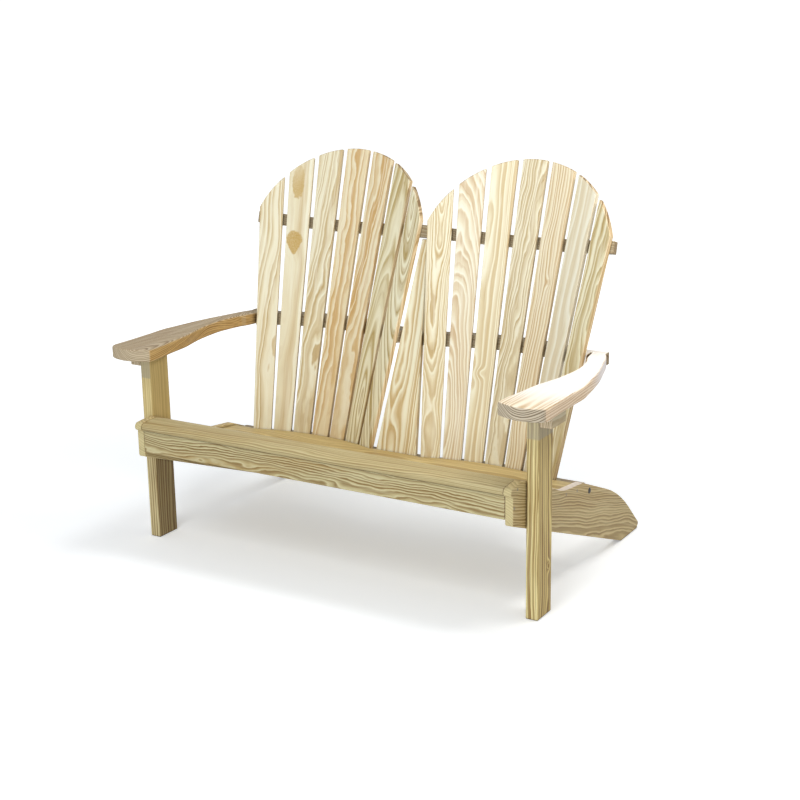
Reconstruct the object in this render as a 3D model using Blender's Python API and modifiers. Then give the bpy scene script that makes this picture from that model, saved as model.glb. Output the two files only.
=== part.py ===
"""Two-seat garden bench with a low slanted seat, wide arms and two dished fan backs.

Every board is an object of its own. Lengths are in metres, +Z is up, X runs along the seat
and +Y points to the back. The pieces are modelled with y = 0 at the front faces of the side
stringers and hang from an empty that puts the origin under the middle of the bench.
"""
import math

import bmesh
import bpy
from mathutils import Matrix, Vector

# Stock
GAP = 0.0003
WELD_DISTANCE = 0.00001
FLAT_ANGLE = math.radians(0.05)
SHARP_ANGLE = math.radians(30.0)
FILLET_LIMIT_SHARE = 0.49
CORNER_STEPS = 5
CURVE_STEPS = 4
LEFT_EDGE, RIGHT_EDGE = -0.5, 0.5
THICK_STOCK = 0.0381
THIN_STOCK = 0.0254
STRINGER_THICKNESS = 0.0254
SLAT_THICKNESS = 0.016
CORNER_EASE = 0.003
SLAT_EASE = 0.0015

# Seat
SEAT_WIDTH = 1.268
SEAT_DEPTH = 0.522
CREST_HEIGHT = 0.4168
CREST_SETBACK = 0.058
CREST_RADIUS = 0.040
NOSE_DROP = 0.0273
NOSE_REACH = 0.0105
NOSE_STEPS = 6
LEAD_SLOPE = math.radians(4.1)
FRONT_BOARD_DEPTH = 0.1048
FRONT_BOARD_SLOPE = math.radians(18.0)
REAR_BOARD_DEPTH = 0.200
REAR_SEAT_HEIGHT = 0.2735
REAR_BOARD_SLOPE = math.radians(6.5)
REAR_CORNER_SETBACK = 0.050
SEAT_SLAT_COUNT = 3
SEAT_SLAT_GAP = 0.006
APRON_BOTTOM = 0.318
SEAT_CLEAT_HEIGHT = 0.038
BRACE_HEIGHT = 0.070

# Stringers
STRINGER_REVEAL = 0.0015
REAR_REVEAL = 0.009
SCOOP_RADIUS = 0.200
STRINGER_FRONT_BOTTOM = 0.303
HUMP_SETBACK = 0.0637
HUMP_RADIUS = 0.0255
TAIL_LENGTH = 0.906
TAIL_TOE_HEIGHT = 0.017
TAIL_START_SLOPE = math.radians(22.5)
TAIL_END_SLOPE = math.radians(43.5)
TAIL_RADIUS = 0.62
FOOT_LENGTH = 0.127
TOE_SETBACK = 0.014

# Front legs and arms
LEG_DEPTH = 0.0889
LEG_SETBACK = 0.0784
ARM_HEIGHT = 0.648
ARM_WIDTH = 0.1505
ARM_INNER_LAP = 0.032
ARM_OVERHANG = 0.012
ARM_BLOCK_SIZE = 0.0381
ARM_EDGE_ROUND = 0.005

# Arm outline: shares of the arm's length from its front and of its width from its inner side
ARM_OUTER_SHARES = ((0.062, 1.008), (0.164, 0.983), (0.317, 0.973), (0.421, 0.977), (0.494, 0.930),
                    (0.622, 0.837), (0.727, 0.738), (0.839, 0.598), (0.936, 0.472), (1.0, 0.352))
ARM_INNER_SHARES = ((0.895, 0.133), (0.839, 0.226), (0.723, 0.319), (0.630, 0.319), (0.513, 0.266),
                    (0.421, 0.179), (0.352, 0.113), (0.228, 0.066), (0.136, 0.013), (0.042, 0.0))
ARM_NOSE_SHARES = ((0.026, 0.133), (0.006, 0.332), (0.0, 0.52), (0.003, 0.668), (0.014, 0.84),
                   (0.031, 0.958))

# Fan backs: a cone's dish, its radii given as shares of the seat's width
SLATS_PER_FAN = 7
SLAT_TURN = math.radians(7.85)
BACK_RECLINE = math.radians(17.03)
BACK_LENGTH = 1.2456
FAN_CENTRE_SHARE = 0.2569
DISH_FOOT_SHARE = 0.3465
DISH_FLARE_SHARE = 0.2418
TOP_RADIUS_SHARE = 0.2626
SLAT_GAP_FOOT = 0.006
SLAT_GAP_TOP = 0.018
CENTRE_SLAT_ADVANCE = 0.0498
CENTRE_GAP_FOOT = 0.0202
CENTRE_GAP_TOP = 0.0003
CENTRE_TOP_CLEARANCE = 0.006
ARC_STEPS = 6

# Back rails
UPPER_RAIL_DROP_SHARE = 0.831
UPPER_RAIL_DEPTH = 0.026
UPPER_RAIL_MARGIN = 0.007
MIDDLE_RAIL_DEPTH = 0.044
LOWER_RAIL_DEPTH = 0.040
LOWER_RAIL_BOTTOM = 0.226
SLAT_TAIL_LAP = 0.004
RAIL_NOTCH_CLEARANCE = 0.003
RAIL_SWEEP_SHARE = 0.95
ARM_END_SETBACK = 0.036
ARM_TONGUE_DEPTH = 0.024
LOWER_END_SETBACK = 0.014

# Places that follow from the sizes
HALF_SEAT = SEAT_WIDTH / 2
NOSE_BOTTOM = CREST_HEIGHT - NOSE_DROP
LEG_INNER = HALF_SEAT + STRINGER_THICKNESS + GAP
FAN_CENTRE = FAN_CENTRE_SHARE * SEAT_WIDTH
TOP_RADIUS = TOP_RADIUS_SHARE * SEAT_WIDTH
TOP_CENTRE = BACK_LENGTH - TOP_RADIUS
BACK_FOOT = SEAT_DEPTH - REAR_SEAT_HEIGHT * math.tan(BACK_RECLINE)
UPPER_RAIL_FOOT = BACK_LENGTH - UPPER_RAIL_DROP_SHARE * TOP_RADIUS
UP = Vector((0, 0, 1))

# Finishes: colour, roughness and metallic value
PINE_PALE = ((0.72, 0.56, 0.33), 0.62, 0.0)
PINE_GOLD = ((0.58, 0.45, 0.25), 0.64, 0.0)
PINE_GREY = ((0.50, 0.44, 0.36), 0.70, 0.0)


def clear_scene():
    """Removes whatever the scene holds."""
    for old in list(bpy.data.objects):
        bpy.data.objects.remove(old, do_unlink=True)


def finish(name, look):
    """Makes a Principled material.

    Args:
        name: the material's name.
        look: colour, roughness and metallic value.
    """
    colour, roughness, metallic = look
    material = bpy.data.materials.new(name)
    material.use_nodes = True
    shader = material.node_tree.nodes["Principled BSDF"]
    shader.inputs["Base Color"].default_value = (*colour, 1.0)
    shader.inputs["Roughness"].default_value = roughness
    shader.inputs["Metallic"].default_value = metallic
    return material


def place(bench, name, mesh, frame, look, ease, segments=2):
    """Hangs a mesh from the bench's empty as a named piece with eased edges.

    Args:
        bench: the collection and the empty.
        name: the piece's name.
        mesh: its mesh, in its own frame.
        frame: the matrix from that frame to the stringers' frame.
        look: colour, roughness and metallic value.
        ease: the width of the eased edges.
        segments: the number of steps round an edge.
    """
    collection, root = bench
    piece = bpy.data.objects.new(name, mesh)
    piece.data.materials.append(finish(name, look))
    piece.parent = root
    piece.matrix_local = frame
    collection.objects.link(piece)
    bevel = piece.modifiers.new("eased_edges", "BEVEL")
    bevel.width = ease
    bevel.segments = segments
    bevel.limit_method = "ANGLE"
    bevel.angle_limit = SHARP_ANGLE
    bevel.use_clamp_overlap = True
    return piece


def outline_mesh(name, outline, thickness):
    """Extrudes a flat outline evenly to both sides of its plane.

    Args:
        name: the mesh's name.
        outline: its corners in order, as pairs.
        thickness: the board's thickness.
    """
    curve = bpy.data.curves.new(name + "_outline", "CURVE")
    curve.dimensions = "2D"
    curve.fill_mode = "BOTH"
    curve.extrude = thickness / 2
    spline = curve.splines.new("POLY")
    spline.points.add(len(outline) - 1)
    for point, (across, along) in zip(spline.points, outline):
        point.co = (across, along, 0.0, 1.0)
    spline.use_cyclic_u = True
    holder = bpy.data.objects.new(name + "_outline", curve)
    bpy.context.scene.collection.objects.link(holder)
    bpy.context.view_layer.update()
    graph = bpy.context.evaluated_depsgraph_get()
    mesh = bpy.data.meshes.new_from_object(holder.evaluated_get(graph))
    bpy.data.objects.remove(holder, do_unlink=True)
    shape = bmesh.new()
    shape.from_mesh(mesh)
    bmesh.ops.remove_doubles(shape, verts=shape.verts, dist=WELD_DISTANCE)
    bmesh.ops.dissolve_limit(shape, angle_limit=FLAT_ANGLE, verts=shape.verts, edges=shape.edges)
    bmesh.ops.recalc_face_normals(shape, faces=shape.faces)
    shape.to_mesh(mesh)
    shape.free()
    mesh.name = name
    return mesh


def loft_mesh(name, low, high):
    """Joins two outlines of as many corners with ruled sides and flat ends.

    Args:
        name: the mesh's name.
        low: the corners of one end.
        high: the corners of the other end.
    """
    shape = bmesh.new()
    ends = [[shape.verts.new(corner) for corner in section] for section in (low, high)]
    for end in ends:
        shape.faces.new(end)
    for start in range(len(low)):
        after = (start + 1) % len(low)
        shape.faces.new((ends[0][start], ends[0][after], ends[1][after], ends[1][start]))
    bmesh.ops.recalc_face_normals(shape, faces=shape.faces)
    mesh = bpy.data.meshes.new(name)
    shape.to_mesh(mesh)
    shape.free()
    return mesh


def box_outline(low, high):
    """Gives a rectangle's corners from its low and high corner."""
    return [(low[0], low[1]), (high[0], low[1]), (high[0], high[1]), (low[0], high[1])]


def arc(centre, radius, start, end, steps):
    """Gives the points of an arc in a plane, both ends included."""
    turns = [start + (end - start) * step / steps for step in range(steps + 1)]
    return [(centre[0] + radius * math.cos(turn), centre[1] + radius * math.sin(turn))
            for turn in turns]


def rounded(corners):
    """Rounds the corners of a closed outline.

    Args:
        corners: places in order, each with its radius.
    """
    outline = []
    for index, (across, along, radius) in enumerate(corners):
        here = Vector((across, along))
        before = Vector(corners[index - 1][:2]) - here
        after = Vector(corners[(index + 1) % len(corners)][:2]) - here
        half = before.angle(after) / 2
        room = FILLET_LIMIT_SHARE * min(before.length, after.length)
        reach = min(radius / math.tan(half), room)
        if reach < GAP:
            outline.append((across, along))
            continue
        bow = reach * math.tan(half)
        centre = here + (before.normalized() + after.normalized()).normalized() * (bow / math.sin(half))
        start = here + before.normalized() * reach - centre
        end = here + after.normalized() * reach - centre
        sweep = start.angle_signed(end)
        for step in range(CORNER_STEPS + 1):
            spoke = start.copy()
            spoke.rotate(Matrix.Rotation(-sweep * step / CORNER_STEPS, 2))
            outline.append(tuple(centre + spoke))
    return outline


def smooth_run(places):
    """Draws a smooth curve through places, both ends included (Catmull-Rom)."""
    points = [Vector(place) for place in places]
    padded = [2 * points[0] - points[1], *points, 2 * points[-1] - points[-2]]
    run = []
    for index in range(1, len(padded) - 2):
        before, start, end, after = padded[index - 1:index + 3]
        for step in range(CURVE_STEPS):
            share = step / CURVE_STEPS
            bend = 2 * before - 5 * start + 4 * end - after
            twist = 3 * start - before - 3 * end + after
            run.append(start + (share * (end - before) + share ** 2 * bend + share ** 3 * twist) / 2)
    return [tuple(point) for point in run + [points[-1]]]


def profile_frame(across):
    """Stands a side profile upright: its own plane becomes YZ and its thickness runs along X."""
    turned = Matrix(((0, 0, 1, 0), (1, 0, 0, 0), (0, 1, 0, 0), (0, 0, 0, 1)))
    return Matrix.Translation((across, 0, 0)) @ turned


def plan_frame(height):
    """Lays an outline flat at a height."""
    return Matrix.Translation((0, 0, height))


# The back's own frame: across, out (towards the rear, square to the back) and up along the back
def back_turn():
    """Gives the turn from the back's own frame to the bench's."""
    return Matrix.Rotation(-BACK_RECLINE, 3, "X")


def on_back(across, out, up):
    """Puts a place of the back's own frame in the bench's frame."""
    return Vector((0, BACK_FOOT, 0)) + back_turn() @ Vector((across, out, up))


def dish_radius(up):
    """Gives the radius of the fans' dish at a place up the back."""
    return SEAT_WIDTH * (DISH_FOOT_SHARE + DISH_FLARE_SHARE * up / BACK_LENGTH)


def slat_width(up):
    """Gives a fan slat's width at a place up the back."""
    gap = SLAT_GAP_FOOT + (SLAT_GAP_TOP - SLAT_GAP_FOOT) * up / BACK_LENGTH
    return dish_radius(up) * SLAT_TURN - gap


def slat_turn(number):
    """Gives the turn of a fan's slat, counted from 1, about the dish's axis."""
    return (number - (SLATS_PER_FAN + 1) / 2) * SLAT_TURN


def slat_normal(turn):
    """Gives the way a fan slat's rear face looks, in the back's own frame."""
    flare = SEAT_WIDTH * DISH_FLARE_SHARE / BACK_LENGTH
    return Vector((math.sin(turn), math.cos(turn), -flare * (1 - math.cos(turn)))).normalized()


def slat_place(side, turn, edge, behind, up):
    """Gives a place on a fan slat in the back's own frame.

    Args:
        side: -1 for the left fan and 1 for the right one.
        turn: the slat's turn about the dish's axis.
        edge: how far across it, a share of its width from its middle (LEFT_EDGE to RIGHT_EDGE).
        behind: how far behind its front face.
        up: how far up the back.
    """
    radius = dish_radius(up)
    aside = edge * slat_width(up)
    across = side * FAN_CENTRE + radius * math.sin(turn) + aside * math.cos(turn)
    out = -radius * (1 - math.cos(turn)) - aside * math.sin(turn)
    return Vector((across, out, up)) + behind * slat_normal(turn)


def dish_place(side, turn, behind, up):
    """Gives a place behind the smooth dish, in the back's own frame."""
    return slat_place(side, turn, 0.0, behind, up)


def inner_corner(up):
    """Gives how far an innermost slat's nearest corner is from the middle of the bench."""
    turn = -slat_turn(SLATS_PER_FAN)
    return slat_place(1, turn, LEFT_EDGE, SLAT_THICKNESS, up).x


def centre_half_width(up):
    """Gives half the centre slat's width at a place up the back."""
    gap = CENTRE_GAP_FOOT + (CENTRE_GAP_TOP - CENTRE_GAP_FOOT) * up / BACK_LENGTH
    return inner_corner(up) - gap


def centre_place(edge, behind, up):
    """Gives a place on the centre slat in the back's own frame."""
    return Vector((2 * edge * centre_half_width(up), behind - CENTRE_SLAT_ADVANCE, up))


def where_level(line, point, normal):
    """Gives where a line of the back, a function of up, meets a plane of the bench's frame."""
    foot = on_back(*line(0.0))
    way = on_back(*line(BACK_LENGTH)) - foot
    return foot + way * ((point - foot).dot(normal) / way.dot(normal))


def slat_lines(behind, centre_slat=True):
    """Gives the corner lines of all slats from left to right, a set distance behind their fronts.

    Args:
        behind: the distance behind the slats' front faces.
        centre_slat: whether the centre slat's corners are among them.
    """
    lines = []
    for side in (-1, 1):
        for number in range(1, SLATS_PER_FAN + 1):
            for edge in (LEFT_EDGE, RIGHT_EDGE):
                lines.append(lambda up, side=side, turn=slat_turn(number), edge=edge:
                             slat_place(side, turn, edge, behind, up))
        if side < 0 and centre_slat:
            for edge in (LEFT_EDGE, RIGHT_EDGE):
                lines.append(lambda up, edge=edge: centre_place(edge, behind, up))
    return lines


def build_fan_slats(bench):
    """Builds the tapered slats of both fans, their tops cut to one arc in each fan."""
    foot = slat_foot()
    for side, fan in ((-1, "left"), (1, "right")):
        for number in range(1, SLATS_PER_FAN + 1):
            turn = slat_turn(number)
            front = -slat_normal(turn)
            width_way = Vector((math.cos(turn), -math.sin(turn), 0.0))
            rise = front.cross(width_way)
            origin = slat_place(side, turn, 0.0, SLAT_THICKNESS / 2, foot)
            axes = Matrix((width_way, rise, front)).transposed()
            corners = [slat_place(side, turn, edge, SLAT_THICKNESS / 2, up)
                       for up, edge in ((foot, LEFT_EDGE), (foot, RIGHT_EDGE))]
            corners += top_arc(side, turn)
            outline = [((corner - origin).dot(width_way), (corner - origin).dot(rise))
                       for corner in corners]
            name = f"{fan}_fan_slat_{number}"
            frame = Matrix.Translation(on_back(*origin)) @ (back_turn() @ axes).to_4x4()
            mesh = outline_mesh(name, outline, SLAT_THICKNESS)
            place(bench, name, mesh, frame, PINE_PALE, SLAT_EASE, 1)


def top_arc(side, turn):
    """Gives the places where a fan slat's plane meets the arc of the fan's top, right to left."""
    centre = side * FAN_CENTRE
    ends = [arc_angle(side, turn, edge) for edge in (RIGHT_EDGE, LEFT_EDGE)]
    places = []
    for step in range(ARC_STEPS + 1):
        angle = ends[0] + (ends[1] - ends[0]) * step / ARC_STEPS
        across = centre + TOP_RADIUS * math.cos(angle)
        up = TOP_CENTRE + TOP_RADIUS * math.sin(angle)
        middle = slat_place(side, turn, 0.0, SLAT_THICKNESS / 2, up)
        aside = (across - middle.x) / math.cos(turn)
        places.append(middle + aside * Vector((math.cos(turn), -math.sin(turn), 0.0)))
    return places


def arc_angle(side, turn, edge):
    """Gives the angle round the top arc at which a slat's edge line crosses it."""
    low = slat_place(side, turn, edge, SLAT_THICKNESS / 2, 0.0)
    high = slat_place(side, turn, edge, SLAT_THICKNESS / 2, BACK_LENGTH)
    lean = (high.x - low.x) / (high.z - low.z)
    offset = low.x - lean * low.z - side * FAN_CENTRE + lean * TOP_CENTRE
    span = 1 + lean ** 2
    rise = (-lean * offset + math.sqrt(span * TOP_RADIUS ** 2 - offset ** 2)) / span
    return math.atan2(rise, offset + lean * rise)


def slat_foot():
    """Gives where the slats end at the bottom, just below the lower rail."""
    return (LOWER_RAIL_BOTTOM - SLAT_TAIL_LAP) / math.cos(BACK_RECLINE)


def build_centre_slat(bench):
    """Builds the tapered slat that fills the gap between the fans."""
    foot = slat_foot()
    top = UPPER_RAIL_FOOT - CENTRE_TOP_CLEARANCE
    outline = [(side * centre_half_width(up), up)
               for up, side in ((foot, -1), (foot, 1), (top, 1), (top, -1))]
    axes = Matrix(((1, 0, 0), (0, 0, -1), (0, 1, 0)))
    middle = on_back(0.0, SLAT_THICKNESS / 2 - CENTRE_SLAT_ADVANCE, 0.0)
    frame = Matrix.Translation(middle) @ (back_turn() @ axes).to_4x4()
    mesh = outline_mesh("centre_slat", outline, SLAT_THICKNESS)
    place(bench, "centre_slat", mesh, frame, PINE_PALE, SLAT_EASE, 1)


def rail_back(point, normal, depth, half_width, least):
    """Gives the rear edge of a rail from right to left, at a constant depth behind the slats.

    Args:
        point: a place on the plane in which the edge is drawn.
        normal: that plane's normal.
        depth: the rail's depth behind the slats' rear faces.
        half_width: half the rail's length.
        least: the edge stays at least this far back, or None.
    """
    behind = SLAT_THICKNESS + GAP + depth
    places = []
    for side in (1, -1):
        middle = side * FAN_CENTRE
        radius = dish_radius(BACK_LENGTH / 2) + behind
        reach = math.asin(min(RAIL_SWEEP_SHARE, (half_width - FAN_CENTRE) / radius))
        inner = math.asin(FAN_CENTRE / radius)
        start, end = (reach, -inner) if side > 0 else (inner, -reach)
        for step in range(1, 2 * SLATS_PER_FAN):
            turn = start + (end - start) * step / (2 * SLATS_PER_FAN)
            place_here = where_level(lambda up: dish_place(side, turn, behind, up), point, normal)
            if RAIL_NOTCH_CLEARANCE < side * place_here.x < half_width - RAIL_NOTCH_CLEARANCE:
                places.append(place_here)
    if least is not None:
        for place_here in places:
            place_here.y = max(place_here.y, least)
    return places


def horizontal_rail(bench, name, bottom, depth, end, tongue, look):
    """Builds a level rail whose front is sawn to the slats' rear faces.

    Args:
        bench: the collection and the empty.
        name: the rail's name.
        bottom: the height of its underside.
        depth: its depth behind the slats.
        end: half its length.
        tongue: front and rear of its straight ends.
        look: colour, roughness and metallic value.
    """
    top = bottom + THICK_STOCK
    front, rear = tongue
    step = rail_step(bottom)
    sections = []
    middle = Vector((0, 0, (bottom + top) / 2))
    back = rail_back(middle, UP, depth, end, rear)
    for height in (bottom, top):
        level = Vector((0, 0, height))
        lines = slat_lines(SLAT_THICKNESS + GAP)
        section = [where_level(line, level, UP) for line in lines]
        section[:0] = [Vector((-end, front, height)), Vector((-step, front, height)),
                       Vector((-step, section[0].y, height))]
        section += [Vector((step, section[-1].y, height)), Vector((step, front, height)),
                    Vector((end, front, height)), Vector((end, rear, height))]
        section += [Vector((place_here.x, place_here.y, height)) for place_here in back]
        section.append(Vector((-end, rear, height)))
        sections.append(section)
    place(bench, name, loft_mesh(name, *sections), Matrix.Identity(4), look, SLAT_EASE, 1)


def rail_step(bottom):
    """Gives where a level rail steps back beside the outermost slats."""
    lines = slat_lines(SLAT_THICKNESS + GAP)
    top = Vector((0, 0, bottom + THICK_STOCK))
    return where_level(lines[-1], top, UP).x + RAIL_NOTCH_CLEARANCE


def outer_slat_rear(bottom):
    """Gives how far back the outermost slats' rear corners are at a level rail."""
    lines = slat_lines(SLAT_THICKNESS)
    return where_level(lines[-1], Vector((0, 0, bottom + THICK_STOCK)), UP).y


def arm_end():
    """Gives the front of the middle rail's tongues, where the arms end."""
    return outer_slat_rear(ARM_HEIGHT - THICK_STOCK) + ARM_END_SETBACK


def build_level_rails(bench):
    """Builds the rail at arm height and the hidden one between the stringers."""
    front = arm_end()
    arm_reach = ARM_WIDTH * ARM_OUTER_SHARES[-1][1]
    horizontal_rail(bench, "back_rail_middle", ARM_HEIGHT - THICK_STOCK, MIDDLE_RAIL_DEPTH,
                    HALF_SEAT - ARM_INNER_LAP + arm_reach, (front, front + ARM_TONGUE_DEPTH),
                    PINE_GREY)
    front = outer_slat_rear(LOWER_RAIL_BOTTOM) + LOWER_END_SETBACK
    horizontal_rail(bench, "back_rail_lower", LOWER_RAIL_BOTTOM, LOWER_RAIL_DEPTH,
                    HALF_SEAT - GAP, (front, front + LOWER_RAIL_DEPTH), PINE_GREY)


def build_upper_rail(bench):
    """Builds the upper rail, square to the slats and as deep everywhere."""
    lean = back_turn() @ UP
    middle = on_back(0.0, 0.0, UPPER_RAIL_FOOT + THICK_STOCK / 2)
    lines = slat_lines(SLAT_THICKNESS + GAP, centre_slat=False)
    widest = where_level(lines[-1], on_back(0.0, 0.0, UPPER_RAIL_FOOT + THICK_STOCK), lean)
    end = widest.x + UPPER_RAIL_MARGIN
    back = rail_back(middle, lean, UPPER_RAIL_DEPTH, end, None)
    sections = []
    for up in (UPPER_RAIL_FOOT, UPPER_RAIL_FOOT + THICK_STOCK):
        level = on_back(0.0, 0.0, up)
        shift = level - middle
        section = [where_level(line, level, lean) for line in lines]
        first, last = section[0], section[-1]
        depth_way = back_turn() @ Vector((0, 1, 0))
        right = Vector((end, last.y, last.z))
        left = Vector((-end, first.y, first.z))
        section = [left, *section, right, right + depth_way * UPPER_RAIL_DEPTH]
        section += [place_here + shift for place_here in back]
        section.append(left + depth_way * UPPER_RAIL_DEPTH)
        sections.append(section)
    mesh = loft_mesh("back_rail_upper", *sections)
    place(bench, "back_rail_upper", mesh, Matrix.Identity(4), PINE_GREY, SLAT_EASE, 1)


def front_normal():
    """Gives the way the front seat board's top looks."""
    return Vector((math.sin(FRONT_BOARD_SLOPE), math.cos(FRONT_BOARD_SLOPE)))


def crest(proud=0.0):
    """Gives the highest line of the seat's front in the side view, or a place over it."""
    lean = (FRONT_BOARD_SLOPE - LEAD_SLOPE) / 2
    rise = proud / math.cos((FRONT_BOARD_SLOPE + LEAD_SLOPE) / 2)
    return Vector((CREST_SETBACK + rise * math.sin(lean), CREST_HEIGHT + rise * math.cos(lean)))


def nose_run(proud=0.0):
    """Gives the seat's rounded front edge from below to above, or a run outside it.

    Two arcs meet at the foremost line: one up from the underside, and a larger one that ends
    along the slope that leads up to the crest.
    """
    height = NOSE_BOTTOM + NOSE_REACH
    lead_drop = (CREST_SETBACK + NOSE_REACH) * math.tan(LEAD_SLOPE)
    upper = (CREST_HEIGHT - lead_drop - height) * math.tan((math.pi / 2 + LEAD_SLOPE) / 2)
    centre = (upper - NOSE_REACH, height)
    low = arc((0.0, height), NOSE_REACH + proud, 3 * math.pi / 2, math.pi, NOSE_STEPS)
    high = arc(centre, upper + proud, math.pi, math.pi / 2 + LEAD_SLOPE, NOSE_STEPS)
    return low + high[1:]


def front_board_rear(behind=0.0):
    """Gives the front seat board's rear top corner, or a place below it."""
    fall = (FRONT_BOARD_DEPTH - CREST_SETBACK) * math.tan(FRONT_BOARD_SLOPE)
    return Vector((FRONT_BOARD_DEPTH, CREST_HEIGHT - fall)) - front_normal() * behind


def rear_board_top(depth):
    """Gives the height of the rear seat board's top at a place from the front."""
    return REAR_SEAT_HEIGHT + (SEAT_DEPTH - depth) * math.tan(REAR_BOARD_SLOPE)


def rear_board_front():
    """Gives the rear seat board's front top corner in the side view."""
    depth = SEAT_DEPTH - REAR_BOARD_DEPTH
    return Vector((depth, rear_board_top(depth)))


def build_stringers(bench):
    """Builds the two side boards that carry the seat and reach back to the ground."""
    first = front_board_rear(-STRINGER_REVEAL)
    second = rear_board_front() + Vector((0, REAR_REVEAL))
    hump_depth = SEAT_DEPTH - HUMP_SETBACK
    hump = Vector((hump_depth, rear_board_top(hump_depth) + REAR_REVEAL))
    toe = Vector((TAIL_LENGTH, TAIL_TOE_HEIGHT))
    start_drop, end_drop = math.tan(TAIL_START_SLOPE), math.tan(TAIL_END_SLOPE)
    bend = (hump.y - toe.y + start_drop * hump.x - end_drop * toe.x) / (start_drop - end_drop)
    turn = Vector((bend, hump.y - start_drop * (bend - hump.x)))
    heel = TAIL_LENGTH - TOE_SETBACK
    corners = [(0.0, STRINGER_FRONT_BOTTOM, 2 * CORNER_EASE)]
    corners += [(*spot, 0.0) for spot in nose_run(STRINGER_REVEAL)]
    corners += [(*crest(STRINGER_REVEAL), CREST_RADIUS), (*first, SCOOP_RADIUS),
                (*second, SCOOP_RADIUS), (*hump, HUMP_RADIUS), (*turn, TAIL_RADIUS),
                (*toe, TOE_SETBACK / 2), (heel, 0.0, TOE_SETBACK / 2),
                (heel - FOOT_LENGTH, 0.0, 0.0)]
    outline = rounded(corners)
    for side, word in ((-1, "left"), (1, "right")):
        name = f"stringer_{word}"
        mesh = outline_mesh(name, outline, STRINGER_THICKNESS)
        frame = profile_frame(side * (HALF_SEAT + STRINGER_THICKNESS / 2))
        place(bench, name, mesh, frame, PINE_GOLD, CORNER_EASE)


def cross_board(bench, name, outline, look, ease=SLAT_EASE):
    """Builds a board that spans from stringer to stringer, from its side profile."""
    mesh = outline_mesh(name, outline, SEAT_WIDTH - 2 * GAP)
    return place(bench, name, mesh, profile_frame(0.0), look, ease, 1)


def build_front_board(bench):
    """Builds the front seat board with its rounded nose, level lip and crest."""
    corners = [(*spot, 0.0) for spot in nose_run()]
    corners += [(*crest(), CREST_RADIUS), (*front_board_rear(), 0.0),
                (*front_board_rear(THICK_STOCK), 0.0), (lip_depth(), NOSE_BOTTOM, 0.0)]
    cross_board(bench, "seat_board_front", rounded(corners), PINE_GOLD)


def lip_depth():
    """Gives how far back the front seat board's level lip reaches."""
    corner = front_board_rear(THICK_STOCK)
    return corner.x - (NOSE_BOTTOM - corner.y) / math.tan(FRONT_BOARD_SLOPE)


def underside(depth):
    """Gives the height of the front seat board's underside at a place from the front."""
    return NOSE_BOTTOM - max(0.0, depth - lip_depth()) * math.tan(FRONT_BOARD_SLOPE)


def build_apron(bench):
    """Builds the apron under the front seat board, its top sawn to the board's slope."""
    drop = GAP / math.cos(FRONT_BOARD_SLOPE)
    outline = [(0.0, APRON_BOTTOM), (THIN_STOCK, APRON_BOTTOM),
               (THIN_STOCK, underside(THIN_STOCK) - drop),
               (lip_depth(), NOSE_BOTTOM - drop), (0.0, NOSE_BOTTOM - drop)]
    cross_board(bench, "front_apron", outline, PINE_GOLD)


def middle_slope():
    """Gives the start, the way and the length of the line of the middle seat slats' tops."""
    start = front_board_rear()
    way = rear_board_front() - start
    return start, way.normalized(), way.length


def seat_slat_span():
    """Gives a middle seat slat's width."""
    length = middle_slope()[2]
    return (length - SEAT_SLAT_GAP * (SEAT_SLAT_COUNT + 1)) / SEAT_SLAT_COUNT


def build_seat_slats(bench):
    """Builds the middle seat slats, flush between the front and the rear board."""
    start, way, _ = middle_slope()
    below = Vector((way.y, -way.x)) * THIN_STOCK
    for number in range(SEAT_SLAT_COUNT):
        front = start + way * (SEAT_SLAT_GAP + number * (seat_slat_span() + SEAT_SLAT_GAP))
        rear = front + way * seat_slat_span()
        outline = [tuple(front), tuple(rear), tuple(rear + below), tuple(front + below)]
        cross_board(bench, f"seat_slat_{number + 1}", outline, PINE_GOLD)


def build_seat_cleats(bench):
    """Builds the strips on the stringers' inner faces that carry the middle seat slats."""
    start, way, length = middle_slope()
    down = Vector((way.y, -way.x))
    top = start + down * (THIN_STOCK + GAP)
    front = top + way * (2 * SEAT_SLAT_GAP)
    rear = top + way * (length - 2 * SEAT_SLAT_GAP)
    outline = [tuple(front), tuple(rear), tuple(rear + down * SEAT_CLEAT_HEIGHT),
               tuple(front + down * SEAT_CLEAT_HEIGHT)]
    for side, word in ((-1, "left"), (1, "right")):
        name = f"seat_cleat_{word}"
        mesh = outline_mesh(name, outline, THIN_STOCK)
        frame = profile_frame(side * (HALF_SEAT - GAP - THIN_STOCK / 2))
        place(bench, name, mesh, frame, PINE_GREY, SLAT_EASE, 1)


def build_rear_board(bench):
    """Builds the rear seat board, its rear edge sawn to the fronts of the back slats."""
    tilt = Vector((0, math.sin(REAR_BOARD_SLOPE), math.cos(REAR_BOARD_SLOPE)))
    front = rear_board_front()
    corner = SEAT_DEPTH - REAR_CORNER_SETBACK
    end = HALF_SEAT - GAP
    lines = slat_lines(-GAP)
    outer = slat_lines(SLAT_THICKNESS)[-1]
    sections = []
    for below in (THIN_STOCK, 0.0):
        level = Vector((0, front.x, front.y)) - tilt * below
        section = [where_level(line, level, tilt) for line in lines]
        step = where_level(outer, level, tilt).x + RAIL_NOTCH_CLEARANCE
        rear = max(corner, section[-1].y)
        sides = ((-end, front.x), (-end, rear), (-step, rear), (-step, section[0].y))
        left = [on_plane(across, depth, level, tilt) for across, depth in sides]
        right = [Vector((-spot.x, spot.y, spot.z)) for spot in reversed(left)]
        sections.append(left + section + right)
    mesh = loft_mesh("seat_board_rear", *sections)
    place(bench, "seat_board_rear", mesh, Matrix.Identity(4), PINE_GOLD, SLAT_EASE, 1)


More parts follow.
